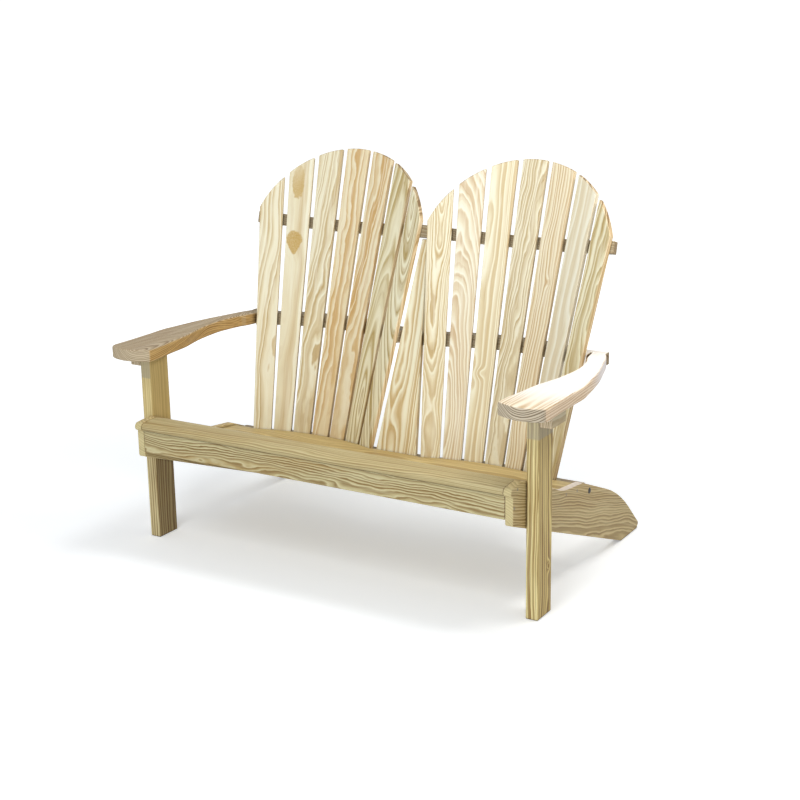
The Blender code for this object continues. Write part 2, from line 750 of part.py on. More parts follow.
def on_plane(across, depth, point, normal):
    """Gives the place of a plane above a place in plan."""
    height = point.z - ((depth - point.y) * normal.y + (across - point.x) * normal.x) / normal.z
    return Vector((across, depth, height))


def build_centre_brace(bench):
    """Builds the board under the middle of the seat, from the apron back to the centre slat."""
    start, way, length = middle_slope()
    down = Vector((way.y, -way.x))
    front = THIN_STOCK + GAP
    first = start + down * (THIN_STOCK + GAP)
    tilt = Vector((0, math.sin(REAR_BOARD_SLOPE), math.cos(REAR_BOARD_SLOPE)))
    dip = Vector((0, *rear_board_front())) - tilt * (THIN_STOCK + GAP)

    def butt(up):
        """Follows the middle of the centre slat's front, a gap before it."""
        return centre_place(0.0, -GAP, up)

    rear_top = where_level(butt, dip, tilt)
    rear_low = where_level(butt, rear_top - UP * BRACE_HEIGHT, UP)
    step = front_board_rear().x + GAP
    last = first + way * length
    outline = [(front, APRON_BOTTOM), (front, underside(front) - 2 * GAP),
               (step, underside(step) - 2 * GAP), (step, first.y + (step - first.x) * way.y / way.x),
               tuple(last), (dip.y, dip.z), (rear_top.y, rear_top.z), (rear_low.y, rear_low.z)]
    mesh = outline_mesh("seat_brace", outline, THICK_STOCK)
    place(bench, "seat_brace", mesh, profile_frame(0.0), PINE_GREY, SLAT_EASE, 1)


def build_legs(bench):
    """Builds the front legs and the small blocks that help them carry the arms."""
    top = ARM_HEIGHT - THICK_STOCK - GAP
    for side, word in ((-1, "left"), (1, "right")):
        leg = outline_mesh(f"front_leg_{word}",
                           box_outline((LEG_SETBACK, 0.0), (LEG_SETBACK + LEG_DEPTH, top)), THICK_STOCK)
        frame = profile_frame(side * (LEG_INNER + THICK_STOCK / 2))
        place(bench, f"front_leg_{word}", leg, frame, PINE_GOLD, CORNER_EASE)
        block = outline_mesh(f"arm_block_{word}",
                             box_outline((LEG_SETBACK, top - ARM_BLOCK_SIZE),
                                         (LEG_SETBACK + LEG_DEPTH, top)), ARM_BLOCK_SIZE)
        outside = LEG_INNER + THICK_STOCK + GAP + ARM_BLOCK_SIZE / 2
        place(bench, f"arm_block_{word}", block, profile_frame(side * outside), PINE_GREY, SLAT_EASE, 1)


def build_arms(bench):
    """Builds the two arms, mirror images of each other."""
    inner = HALF_SEAT - ARM_INNER_LAP
    length = arm_end() - GAP + ARM_OVERHANG
    butt = rail_step(ARM_HEIGHT - THICK_STOCK) + GAP

    def spot(share):
        """Turns shares of length and width into a place of the right arm."""
        return (inner + share[1] * ARM_WIDTH, share[0] * length - ARM_OVERHANG)

    outer_edge = smooth_run([spot(share) for share in ARM_OUTER_SHARES])
    inner_places = [(butt, length - ARM_OVERHANG)] + [spot(share) for share in ARM_INNER_SHARES]
    inner_edge = smooth_run(inner_places)
    nose_places = [spot(share) for share in ARM_NOSE_SHARES]
    nose = smooth_run([inner_edge[-1], *nose_places, outer_edge[0]])[1:-1]
    outline = outer_edge + inner_edge + nose
    for side, word in ((-1, "left"), (1, "right")):
        name = f"arm_{word}"
        mirrored = [(side * across, depth) for across, depth in outline]
        mesh = outline_mesh(name, mirrored, THICK_STOCK)
        place(bench, name, mesh, plan_frame(ARM_HEIGHT - THICK_STOCK / 2), PINE_GREY, ARM_EDGE_ROUND, 3)


def centre_bench(collection, root):
    """Moves the empty so that the origin lies under the middle of the finished bench."""
    bpy.context.view_layer.update()
    graph = bpy.context.evaluated_depsgraph_get()
    depths = []
    for piece in collection.objects:
        if piece.type == "MESH":
            solid = piece.evaluated_get(graph)
            depths += [(piece.matrix_world @ vertex.co).y for vertex in solid.data.vertices]
    root.location.y = -(min(depths) + max(depths)) / 2
    bpy.context.view_layer.update()


def main():
    """Builds the whole bench."""
    clear_scene()
    collection = bpy.data.collections.new("garden_bench")
    bpy.context.scene.collection.children.link(collection)
    root = bpy.data.objects.new("bench_origin", None)
    collection.objects.link(root)
    bench = (collection, root)
    build_stringers(bench)
    build_legs(bench)
    build_arms(bench)
    build_apron(bench)
    build_front_board(bench)
    build_seat_slats(bench)
    build_seat_cleats(bench)
    build_rear_board(bench)
    build_centre_brace(bench)
    build_level_rails(bench)
    build_upper_rail(bench)
    build_fan_slats(bench)
    build_centre_slat(bench)
    centre_bench(collection, root)


main()
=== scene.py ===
"""Looks of the two-seat garden bench with two fan backs.

Every board gets its own pine, the screws and bolts that show are added, and the floor, the light
and the camera are set up.
"""

import logging
import math
from dataclasses import dataclass, field, replace
from enum import Enum
from typing import Sequence

import bpy
import numpy as np
from mathutils import Matrix, Vector

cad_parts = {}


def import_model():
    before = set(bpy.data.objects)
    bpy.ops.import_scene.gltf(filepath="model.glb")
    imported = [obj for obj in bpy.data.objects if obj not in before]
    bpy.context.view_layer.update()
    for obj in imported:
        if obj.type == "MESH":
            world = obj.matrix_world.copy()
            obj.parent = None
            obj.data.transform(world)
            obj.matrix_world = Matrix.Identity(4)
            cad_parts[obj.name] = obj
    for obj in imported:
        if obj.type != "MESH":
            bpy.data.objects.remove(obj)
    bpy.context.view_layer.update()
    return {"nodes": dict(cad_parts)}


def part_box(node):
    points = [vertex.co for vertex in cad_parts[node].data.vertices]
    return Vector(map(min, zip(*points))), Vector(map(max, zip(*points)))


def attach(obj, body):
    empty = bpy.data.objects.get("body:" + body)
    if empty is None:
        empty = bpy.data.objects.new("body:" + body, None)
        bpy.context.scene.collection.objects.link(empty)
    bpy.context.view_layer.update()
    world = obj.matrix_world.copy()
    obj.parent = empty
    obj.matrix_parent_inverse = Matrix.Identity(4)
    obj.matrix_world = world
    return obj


log = logging.getLogger("bench")

Triple = tuple[float, float, float]
Colour = Triple
Span = tuple[float, float]
Piece = bpy.types.Object
Node = bpy.types.Node
Socket = bpy.types.NodeSocket
Feed = Socket | float | Sequence[float]

WHITE: Colour = (1.0, 1.0, 1.0)
UP, FORWARD = (0.0, 0.0, 1.0), (0.0, -1.0, 0.0)
ACROSS, INWARDS = (1.0, 0.0, 0.0), (-1.0, 0.0, 0.0)

# Growth rings: waves in a metre and their strength as a share of the growth's wave
SWING_SCALE = 1.6
LONG_WAVE = (13.0, 1.5)
RIPPLES = ((40.0, 0.18), (120.0, 0.04))
WAVE_STRETCH = (1.0, 1.0, 0.35)
WAVE_START = (1.7, 4.1)

# One year: how unevenly years pass, its curves of summer wood and of first wood, and finer lines
UNEVEN_SCALE = 70.0
UNEVEN_YEARS = 1.4
SUMMER_CURVE = ((0.0, 0.30), (0.08, 0.0), (0.38, 0.10), (0.60, 0.62), (0.78, 1.0), (0.92, 0.90),
                (1.0, 0.30))
FRESH_CURVE = ((0.0, 0.10), (0.08, 1.0), (0.22, 0.70), (0.42, 0.0), (1.0, 0.0))
FINE_SCALE = 420.0
FINE_SPAN = (0.50, 0.72)
FINE_SHARE = 0.34
YEAR_LEAST = 0.55
YEAR_SPREAD = 0.45

# A knot: places within it are in its own radii
KNOT_BEND = -0.25
KNOT_LEAST_GIRTH = 0.2
KNOT_RAGGED_SCALE = 1.1
KNOT_RAGGED_SHARE = 1.3
KNOT_HEART_SPAN = (1.90, 1.45)
KNOT_MOTTLE_SCALE = 5.5
KNOT_MOTTLE_SPAN = (0.30, 0.70)
KNOT_PALE_SHARE = 0.72
KNOT_FADE_SPAN = (-0.6, 1.0)
KNOT_BROWN_SHARES = (0.98, 0.92, 0.56)

# Colour: spans of the noise in which a mark sets in, and how strong it gets
PATCH_SPAN = (0.42, 0.68)
STREAK_SHARE = 0.5
FRESH_SHARE = 0.72
LIGHTEST = 0.92
SAP_SPAN = (0.50, 0.66)
SAP_SHARE = 0.35
FLECK_SPAN = (0.60, 0.74)
FLECK_SHARE = 0.25
FLECK_DARKNESS = 0.80

# End grain, painted light on narrow sides, worn edges and painted shade in the crevices
END_FACING = (0.30, 0.62)
LIT_FLANK_FACING = (0.60, 0.85)
END_SHARE = 0.75
END_LINE_SPAN = (0.20, 0.65)
END_LINE_SHARE = 0.80
WORN_LIFT = 1.06
WORN_SHARE = 0.18
WORN_RADIUS = 0.004
WORN_SPAN = (0.995, 0.86)
CREVICE_SHADE_DARKNESS = 0.30
CREVICE_SHADE_REACH = 0.018
CREVICE_SHADE_SHARE = 0.82
BEVEL_SAMPLES = 4
AIR_SAMPLES = 8

# Gloss and relief
FIBRE_ROUGHNESS = 0.16
SUMMER_ROUGHNESS = -0.10
END_ROUGHNESS = 0.2
PINE_SPECULAR = 0.32
SUMMER_RELIEF = 0.45
FIBRE_RELIEF = 0.55
KERF_RELIEF = 0.8
PINE_BUMP = {"Strength": 0.55, "Distance": 0.0007}


class Sawing(Enum):
    """How a board was sawn from its log: how far behind its face, and aside, the pith runs."""

    FLAT = (0.075, 0.010)
    RIFT = (0.060, 0.055)
    QUARTER = (0.020, 0.110)
    HEART = (0.022, 0.004)
    CROWN = (0.036, 0.018)
    BARK = (0.100, 0.0)
    SLANT = (0.080, 0.050)
    NEAR = (0.050, 0.020)


FLAT, RIFT, QUARTER, HEART, CROWN, BARK, SLANT, NEAR = Sawing


@dataclass(frozen=True)
class Growth:
    """The tree that a board came from, seen in the board's own frame.

    Attributes:
        sawing: where the pith runs beside the board.
        ring: the width of a year's ring.
        lean: how far the pith nears or leaves the face per metre, which nests the grain's arches.
        drift: how far the pith moves aside per metre, which slants the grain.
        wander: how far the pith swings along the board.
        wave: how far the rings waver in long waves.
        ripple: how strongly shorter waves ride on the long ones.
        seed: the place in the noise that makes this board unlike the others.
        aside: how far aside the pith runs, where the sawing's own value doesn't fit.
        flip: -1 where the bark side faces forward, 1 where the pith side does.
    """

    sawing: Sawing = Sawing.FLAT
    ring: float = 0.0062
    lean: float = 0.0
    drift: float = 0.0
    wander: float = 0.03
    wave: float = 0.016
    ripple: float = 1.0
    seed: float = 0.0
    aside: float | None = None
    flip: float = 1.0

    def pith(self) -> Span:
        """Returns how far behind the board's middle and how far aside the pith runs."""
        depth, aside = self.sawing.value
        return depth, aside if self.aside is None else self.aside


@dataclass(frozen=True)
class Knot:
    """A knot through a board, or an eye in its grain.

    Attributes:
        along: its place along the board from its middle, in metres.
        aside: its place across the board.
        radius: half its width.
        stretch: its length as a share of its width.
        core: how dark its heart is; 0 leaves an eye in the grain.
        push: how far it bends the rings, as a share of its radius.
        taper: how much wider its upper end is than its middle, as a share of its width.
        fade: how much paler its upper end is than its lower end.
    """

    along: float
    aside: float
    radius: float
    stretch: float = 1.5
    core: float = 0.85
    push: float = 1.7
    taper: float = 0.0
    fade: float = 0.0


@dataclass(frozen=True)
class PaintedLight:
    """Painted light and shade laid on a stretch of a board, or where it looks one way.

    Attributes:
        colour: the colour laid on, which stands for the light or the shade there.
        amount: how strongly it is laid over the wood.
        along: the places along the board between which it sets in, in metres from its middle.
        facing: the shares of the surface's normal along the way between which it sets in.
        way: the way in which the marked surface looks.
    """

    colour: Colour
    amount: float = 0.8
    along: Span | None = None
    facing: Span | None = None
    way: Triple = UP


@dataclass(frozen=True)
class BoardAxes:
    """A board's own frame: its middle, and its thickness, width and length as unit vectors."""

    middle: np.ndarray
    axes: np.ndarray

    @classmethod
    def of_node(cls, piece: Piece, face: Sequence[float]) -> "BoardAxes":
        """Finds a board's frame from its mesh.

        The axes are those along which the surface spreads least, middling and most. A triangle
        a, b, c of area A with its middle m adds A / 12 times (a a' + b b' + c c' + 9 m m') to the
        spread.

        Args:
            piece: the board.
            face: the direction in which its best face looks.

        Returns:
            The board's frame.
        """
        mesh = piece.data
        mesh.calc_loop_triangles()
        points = np.empty(len(mesh.vertices) * 3)
        mesh.vertices.foreach_get("co", points)
        points = points.reshape(-1, 3)
        corners = np.empty(len(mesh.loop_triangles) * 3, dtype=np.int32)
        mesh.loop_triangles.foreach_get("vertices", corners)
        a, b, c = (points[corners.reshape(-1, 3)[:, k]] for k in range(3))
        area = np.linalg.norm(np.cross(b - a, c - a), axis=1)
        middles = (a + b + c) / 3
        centre = (middles * area[:, None]).sum(0) / area.sum()
        weight = area[:, None] / 12
        spread = 9 * ((middles - centre) * weight).T @ (middles - centre)
        spread += sum(((corner - centre) * weight).T @ (corner - centre) for corner in (a, b, c))
        _, vectors = np.linalg.eigh(spread)
        thick, _, long = vectors.T
        if long[np.argmax(np.abs(long))] < 0:
            long = -long
        if thick @ np.asarray(face) < 0:
            thick = -thick
        return cls(centre, np.stack([thick, np.cross(long, thick), long]))


class NodeSheet:
    """A node tree of a material or the world, with short calls for the nodes that they need."""

    def __init__(self, owner: bpy.types.Material | bpy.types.World, shader: str) -> None:
        """Opens the node tree of a new material or world, whose shader has the name given."""
        owner.use_nodes = True
        self.owner = owner
        self.tree = owner.node_tree
        self.shader = self.tree.nodes[shader]

    @classmethod
    def of_material(cls, name: str) -> "NodeSheet":
        """Makes a new material."""
        return cls(bpy.data.materials.new(name), "Principled BSDF")

    def feed(self, socket: Socket, value: Feed) -> None:
        """Links a socket, or sets its value where the value is a number or a tuple."""
        if isinstance(value, Socket):
            self.tree.links.new(value, socket)
        else:
            socket.default_value = value

    def shade(self, **values: Feed) -> None:
        """Feeds the shader's inputs, named with underscores for their spaces."""
        for name, value in values.items():
            self.feed(self.shader.inputs[name.replace("_", " ")], value)

    def cover(self, piece: Piece) -> None:
        """Makes this the piece's only material."""
        piece.data.materials.clear()
        piece.data.materials.append(self.owner)

    def node(self, kind: str, feeds: dict[str | int, Feed] | None = None,
             **settings: object) -> Node:
        """Adds a node.

        Args:
            kind: the node's class name without its ShaderNode.
            feeds: what goes into its sockets, by name or number.
            settings: its properties.

        Returns:
            The node.
        """
        node = self.tree.nodes.new("ShaderNode" + kind)
        for key, value in settings.items():
            setattr(node, key, value)
        for key, value in (feeds or {}).items():
            self.feed(node.inputs[key], value)
        return node

    def maths(self, operation: str, *values: Feed, clamp: bool = False) -> Socket:
        """Returns one sum on up to three numbers."""
        feeds = dict(enumerate(values))
        return self.node("Math", feeds, operation=operation, use_clamp=clamp).outputs[0]

    def times(self, first: Feed, second: Feed) -> Socket:
        """Returns the product of two numbers."""
        return self.maths("MULTIPLY", first, second)

    def scaled(self, value: Feed, factor: Feed, start: Feed, clamp: bool = False) -> Socket:
        """Returns a number times a factor, plus a start."""
        return self.maths("MULTIPLY_ADD", value, factor, start, clamp=clamp)

    def vector(self, operation: str, *values: Feed) -> Node:
        """Returns one sum on vectors, as its node."""
        return self.node("VectorMath", dict(enumerate(values)), operation=operation)

    def place(self) -> Socket:
        """Returns the place on the piece, in the piece's own coordinates."""
        return self.node("TexCoord").outputs["Object"]

    def facing(self, way: Sequence[float]) -> Socket:
        """Returns the cosine between the surface's normal and a way."""
        normal = self.node("TexCoord").outputs["Normal"]
        return self.vector("DOT_PRODUCT", normal, tuple(float(v) for v in way)).outputs["Value"]

    def stretch(self, place: Feed, scale: Sequence[float]) -> Socket:
        """Returns a place scaled along each of its axes."""
        return self.vector("MULTIPLY", place, tuple(scale)).outputs[0]

    def noise(self, place: Feed, scale: float, detail: float = 2.0, rough: float = 0.5) -> Socket:
        """Returns noise over a place."""
        feeds = {"Vector": place, "Scale": scale, "Detail": detail, "Roughness": rough}
        return self.node("TexNoise", feeds, noise_dimensions="3D").outputs["Fac"]

    def line_noise(self, along: Feed, scale: float) -> Node:
        """Returns noise over one number, as its node."""
        feeds = {"W": along, "Scale": scale, "Detail": 1.0}
        return self.node("TexNoise", feeds, noise_dimensions="1D")

    def between(self, value: Feed, low: float, high: float, start: float = 0.0,
                end: float = 1.0) -> Socket:
        """Returns a number mapped smoothly from low and high onto start and end, held outside."""
        feeds = {"Value": value, "From Min": low, "From Max": high, "To Min": start, "To Max": end}
        return self.node("MapRange", feeds, interpolation_type="SMOOTHSTEP").outputs["Result"]

    def ramp(self, value: Feed, stops: Sequence[Span]) -> Socket:
        """Returns a number read from a curve of straight runs.

        Args:
            value: the place on the curve, from 0 to 1.
            stops: the places and heights of its corners.

        Returns:
            The height as a socket.
        """
        node = self.node("ValToRGB", {"Fac": value})
        elements = node.color_ramp.elements
        for place, height in stops[1:-1]:
            elements.new(place)
        for element, (place, height) in zip(elements, stops):
            element.position = place
            element.color = (height, height, height, 1.0)
        return node.outputs["Color"]

    def tint(self, amount: Feed, first: Feed, second: Feed, blend: str = "MIX") -> Socket:
        """Returns two colours blended by an amount from 0 to 1."""
        node = self.node("Mix", {0: amount}, data_type="RGBA", blend_type=blend, clamp_factor=True)
        for place, colour in ((6, first), (7, second)):
            linked = isinstance(colour, Socket)
            self.feed(node.inputs[place], colour if linked else (*colour, 1.0))
        return node.outputs[2]

    def seen(self) -> Socket:
        """Returns 1 where the camera, a reflection or a refraction looks, and 0 elsewhere."""
        path = self.node("LightPath").outputs
        either = self.maths("MAXIMUM", path["Is Camera Ray"], path["Is Glossy Ray"])
        return self.maths("MAXIMUM", either, path["Is Transmission Ray"])

    def bump(self, height: Feed, strength: dict[str, float]) -> None:
        """Gives the shader a relief of a height and the bump's own strength and distance."""
        self.shade(Normal=self.node("Bump", {**strength, "Height": height}).outputs["Normal"])


@dataclass(frozen=True)
class Layer:
    """Noise over a board, stretched in the board's frame.

    Attributes:
        scale: how many waves it has in a metre.
        stretch: what the places along thickness, width and length are multiplied by first.
        detail: how many finer waves ride on it.
        rough: how strong those are.
    """

    scale: float
    stretch: Triple
    detail: float = 2.0
    rough: float = 0.5

    def over(self, sheet: NodeSheet, place: Feed) -> Socket:
        """Returns the noise at a place of the board."""
        return sheet.noise(sheet.stretch(place, self.stretch), self.scale, self.detail, self.rough)


FIBRE = Layer(620.0, (1.0, 1.0, 0.018), 3.0, 0.6)
STREAK = Layer(120.0, (1.0, 1.0, 0.06), 3.0, 0.55)
PATCH = Layer(9.0, (1.0, 1.0, 0.25))
SAP = Layer(75.0, (1.0, 1.0, 0.05), 2.0, 0.6)
KERF = Layer(14.0, (40.0, 3.0, 40.0))


@dataclass(frozen=True)
class PineFinish:
    """Bare sawn pine: pale spring wood, tan summer wood, fibres, flecks, end grain, eased edges.

    Attributes:
        name: the finish's name.
        slot: the record's material slot; not used.
        spring: the pale wood that grows first in a year.
        summer: the dark line that ends a year.
        blush: the colour of broad patches.
        end: the colour that end grain tends to.
        side: what the board's narrow sides are multiplied by, as painted light and shade on them.
        end_line: the colour of the rings in the end grain.
        strength: how strongly the summer wood shows.
        patches: how strongly the broad patches show.
        roughness: the shader's roughness in spring wood.
        lift: what the spring wood is multiplied by in the year's first, palest line.
        crevice_shade: the shares of open air between which painted shade sets in, where parts lie
            close.
        painted_light: the painted light and shadow laid over stretches of it.
    """

    name: str
    slot: str
    spring: Colour
    summer: Colour
    blush: Colour
    end: Colour
    side: Colour = (1.0, 0.93, 0.84)
    end_line: Colour = (0.17, 0.10, 0.04)
    strength: float = 0.85
    patches: float = 0.5
    roughness: float = 0.62
    lift: Colour = (1.10, 1.16, 1.32)
    crevice_shade: Span = (0.76, 0.28)
    painted_light: tuple[PaintedLight, ...] = ()

    def dress(self, piece: Piece, board: BoardAxes, growth: Growth,
              knots: Sequence[Knot] = ()) -> None:
        """Gives a board its own pine.

        The wood is a solid pattern. In the board's frame of thickness t, width w and length l, a
        point's distance from the pith is the root of (t - pith t)^2 + (w - pith w)^2, where the
        pith's place swings slowly with l and the distance is moved by a ripple and by each knot
        near it. Divided by the ring's width, the part after the point runs through one year from
        spring to summer.

        Args:
            piece: the board.
            board: its frame.
            growth: the tree it came from.
            knots: its knots.
        """
        sheet = NodeSheet.of_material(f"{self.name}_{piece.name}")
        place = self._place(sheet, board)
        thick, wide, long = sheet.node("SeparateXYZ", {0: place}).outputs
        distance = self._distance(sheet, place, thick, wide, long, growth)
        distance, knot_shade = self._knots(sheet, place, distance, wide, long, knots)
        summer, fresh = self._years(sheet, distance, growth)
        fibre = FIBRE.over(sheet, place)
        end = self._towards(sheet, board.axes[2], END_FACING)
        colour = self._colour(sheet, place, summer, fresh, fibre, knot_shade)
        # Painted light and shade on the narrow sides, and the end grain's own colour
        colour = self._lit_sides_and_end_grain(sheet, colour, summer, end, board)
        # Worn edges and painted crevice shade, then the painted light and shadow marks
        colour = self._lay_painted_light(sheet, self._worn_edges_and_crevice_shade(sheet, colour), long, end)
        rough = sheet.scaled(fibre, FIBRE_ROUGHNESS, self.roughness - FIBRE_ROUGHNESS / 2)
        rough = sheet.scaled(summer, SUMMER_ROUGHNESS, rough)
        rough = sheet.scaled(end, END_ROUGHNESS, rough, clamp=True)
        sheet.shade(Base_Color=colour, Roughness=rough, Specular_IOR_Level=PINE_SPECULAR)
        relief = sheet.scaled(summer, SUMMER_RELIEF, sheet.times(fibre, FIBRE_RELIEF))
        kerf = sheet.times(KERF.over(sheet, place), end)
        sheet.bump(sheet.scaled(kerf, KERF_RELIEF, relief), PINE_BUMP)
        sheet.cover(piece)

    def _place(self, sheet: NodeSheet, board: BoardAxes) -> Socket:
        """Returns the object's coordinates turned into the board's frame."""
        turn = Matrix([list(map(float, row)) for row in board.axes])
        start = -(turn @ Vector([float(v) for v in board.middle]))
        feeds = {"Vector": sheet.place(), "Location": tuple(start),
                 "Rotation": tuple(turn.to_euler("XYZ"))}
        return sheet.node("Mapping", feeds, vector_type="POINT").outputs["Vector"]

    def _distance(self, sheet: NodeSheet, place: Feed, thick: Feed, wide: Feed, long: Feed,
                  growth: Growth) -> Socket:
        """Returns a point's wavering distance from the leaning, wandering pith, in metres."""
        behind, aside = growth.pith()
        swing = sheet.line_noise(sheet.maths("ADD", long, growth.seed), SWING_SCALE)
        swings = sheet.node("SeparateXYZ", {0: swing.outputs["Color"]}).outputs
        depth = sheet.scaled(swings[0], growth.wander, behind - growth.wander / 2)
        depth = sheet.scaled(long, growth.lean, depth)
        across = sheet.scaled(swings[1], growth.wander, aside - growth.wander / 2)
        across = sheet.scaled(long, growth.drift, across)
        rise = sheet.scaled(thick, growth.flip, depth)
        side = sheet.maths("SUBTRACT", wide, across)
        square = sheet.maths("ADD", sheet.times(rise, rise), sheet.times(side, side))
        distance = sheet.maths("SQRT", square)
        start = (growth.seed, *WAVE_START)
        seeded = sheet.vector("ADD", sheet.stretch(place, WAVE_STRETCH), start).outputs[0]
        ripples = ((scale, share * growth.ripple) for scale, share in RIPPLES)
        for scale, share in (LONG_WAVE, *ripples):
            waver = sheet.noise(seeded, scale, 1.0)
            distance = sheet.scaled(waver, growth.wave * share, distance)
        return distance

    def _knots(self, sheet: NodeSheet, place: Feed, distance: Feed, wide: Feed, long: Feed,
               knots: Sequence[Knot]) -> tuple[Feed, Feed]:
        """Returns the distance bent round each knot, and how deep in a knot a point is.

        A knot's reach is the root of ((l - along) / stretch)^2 + (w - aside)^2 over its radius,
        which grows by taper from its middle to its upper end. The rings are pushed by push times
        the radius times e to the power of minus that reach squared over 4. Noise makes the
        heart's outline ragged.
        """
        shade: Feed = 0.0
        for knot in knots:
            along = sheet.maths("SUBTRACT", long, knot.along)
            along = sheet.maths("DIVIDE", along, knot.stretch * knot.radius)
            girth = sheet.maths("MAXIMUM", sheet.scaled(along, knot.taper, 1.0), KNOT_LEAST_GIRTH)
            aside = sheet.maths("DIVIDE", sheet.maths("SUBTRACT", wide, knot.aside),
                                sheet.times(girth, knot.radius))
            square = sheet.maths("ADD", sheet.times(along, along), sheet.times(aside, aside))
            bend = sheet.maths("EXPONENT", sheet.times(square, KNOT_BEND))
            distance = sheet.scaled(bend, knot.radius * knot.push, distance)
            if knot.core > 0.0:
                ragged = sheet.noise(place, KNOT_RAGGED_SCALE / knot.radius)
                ragged = sheet.scaled(ragged, KNOT_RAGGED_SHARE, square)
                mottle = sheet.noise(place, KNOT_MOTTLE_SCALE / knot.radius)
                depth = sheet.between(mottle, *KNOT_MOTTLE_SPAN, knot.core * KNOT_PALE_SHARE,
                                      knot.core)
                depth = sheet.times(depth, sheet.between(along, *KNOT_FADE_SPAN, 1.0,
                                                         1.0 - knot.fade))
                heart = sheet.times(sheet.between(ragged, *KNOT_HEART_SPAN), depth)
                shade = sheet.maths("MAXIMUM", shade, heart)
        return distance, shade

    def _years(self, sheet: NodeSheet, distance: Feed, growth: Growth) -> tuple[Feed, Feed]:
        """Returns how much summer wood a point holds, and how much of a year's first, palest wood.

        Each year swells slowly and ends sharply, and some years are fainter. Finer lines, noise
        over the distance alone, run beside them.
        """
        seeded = sheet.maths("ADD", distance, growth.seed)
        years = sheet.maths("DIVIDE", distance, growth.ring)
        years = sheet.scaled(sheet.line_noise(seeded, UNEVEN_SCALE).outputs["Fac"], UNEVEN_YEARS,
                             years)
        part = sheet.maths("FRACT", years)
        fine = sheet.line_noise(seeded, FINE_SCALE).outputs["Fac"]
        band = sheet.maths("ADD", sheet.ramp(part, SUMMER_CURVE),
                           sheet.between(fine, *FINE_SPAN, 0.0, FINE_SHARE))
        count = sheet.maths("ADD", sheet.maths("FLOOR", years), growth.seed)
        year = sheet.node("TexWhiteNoise", {"W": count}, noise_dimensions="1D").outputs["Value"]
        year = sheet.scaled(year, YEAR_SPREAD, YEAR_LEAST)
        return sheet.maths("MULTIPLY", band, year, clamp=True), sheet.ramp(part, FRESH_CURVE)

    def _colour(self, sheet: NodeSheet, place: Feed, summer: Feed, fresh: Feed, fibre: Feed,
                knot_shade: Feed) -> Socket:
        """Returns the board's colour from its rings, patches, streaks, fibres and knots."""
        streak, patch, sap = (layer.over(sheet, place) for layer in (STREAK, PATCH, SAP))
        patches = sheet.times(sheet.between(patch, *PATCH_SPAN), self.patches)
        colour = sheet.tint(patches, self.spring, self.blush)
        strength = sheet.scaled(streak, STREAK_SHARE, self.strength - STREAK_SHARE / 2)
        colour = sheet.tint(sheet.times(summer, strength), colour, self.summer)
        pale = tuple(min(LIGHTEST, v * lift) for v, lift in zip(self.spring, self.lift))
        colour = sheet.tint(sheet.times(fresh, FRESH_SHARE), colour, pale)
        sap = sheet.times(sheet.between(sap, *SAP_SPAN), SAP_SHARE)
        colour = sheet.tint(sap, colour, pale)
        fleck = sheet.times(sheet.between(fibre, *FLECK_SPAN), FLECK_SHARE)
        colour = sheet.tint(fleck, colour, tuple(v * FLECK_DARKNESS for v in self.summer))
        brown = tuple(v * share for v, share in zip(self.summer, KNOT_BROWN_SHARES))
        return sheet.tint(knot_shade, colour, brown)

    def _lit_sides_and_end_grain(self, sheet: NodeSheet, colour: Feed, summer: Feed, end: Feed,
               board: BoardAxes) -> Socket:
        """Returns the colour with painted light and shade on the narrow sides, changed in the end
        grain.
        """
        # Painted light and shade: the narrow sides are multiplied by the side colour
        lit_flank = self._towards(sheet, board.axes[1], LIT_FLANK_FACING)
        colour = sheet.tint(lit_flank, colour, sheet.tint(1.0, colour, self.side, "MULTIPLY"))
        colour = sheet.tint(sheet.times(end, END_SHARE), colour, self.end)
        lines = sheet.times(end, sheet.between(summer, *END_LINE_SPAN))
        return sheet.tint(sheet.times(lines, END_LINE_SHARE), colour, self.end_line)

    def _worn_edges_and_crevice_shade(self, sheet: NodeSheet, colour: Feed) -> Socket:
        """Returns the colour with paler worn edges, and painted shade where another board lies
        close.

        A point is near an edge where a rounded normal leans from the true one.
        """
        rounded = sheet.node("Bevel", {"Radius": WORN_RADIUS}, samples=BEVEL_SAMPLES)
        straight = sheet.node("NewGeometry").outputs["Normal"]
        along = sheet.vector("DOT_PRODUCT", rounded.outputs["Normal"], straight).outputs["Value"]
        edge = sheet.times(sheet.between(along, *WORN_SPAN), WORN_SHARE)
        colour = sheet.tint(edge, colour, tuple(min(1.0, v * WORN_LIFT) for v in self.spring))
        # Painted shade: darker where nearby parts shut out the air, in crevices and under overhangs
        air = sheet.node("AmbientOcclusion", {"Distance": CREVICE_SHADE_REACH}, samples=AIR_SAMPLES)
        crevice_shade = sheet.between(air.outputs["AO"], *self.crevice_shade, 0.0, CREVICE_SHADE_SHARE)
        return sheet.tint(crevice_shade, colour, tuple(v * CREVICE_SHADE_DARKNESS for v in self.summer))

    def _towards(self, sheet: NodeSheet, axis: np.ndarray, span: Span) -> Socket:
        """Returns how far the surface looks along a board's axis, either way."""
        return sheet.between(sheet.maths("ABSOLUTE", sheet.facing(axis)), *span)

    def _lay_painted_light(self, sheet: NodeSheet, colour: Feed, long: Feed, end: Feed) -> Feed:
        """Returns the colour with each painted light and painted shadow mark laid over it."""
        for mark in self.painted_light:
            amount: Feed = mark.amount
            if mark.along is not None:
                whole = sheet.times(sheet.maths("SUBTRACT", 1.0, end), amount)
                amount = sheet.times(sheet.between(long, *mark.along), whole)
            if mark.facing is not None:
                share = sheet.between(sheet.facing(mark.way), *mark.facing)
                amount = sheet.times(share, amount)
            # Lays each painted light and shadow mark over the wood's own colour
            colour = sheet.tint(amount, colour, mark.colour)
        return colour


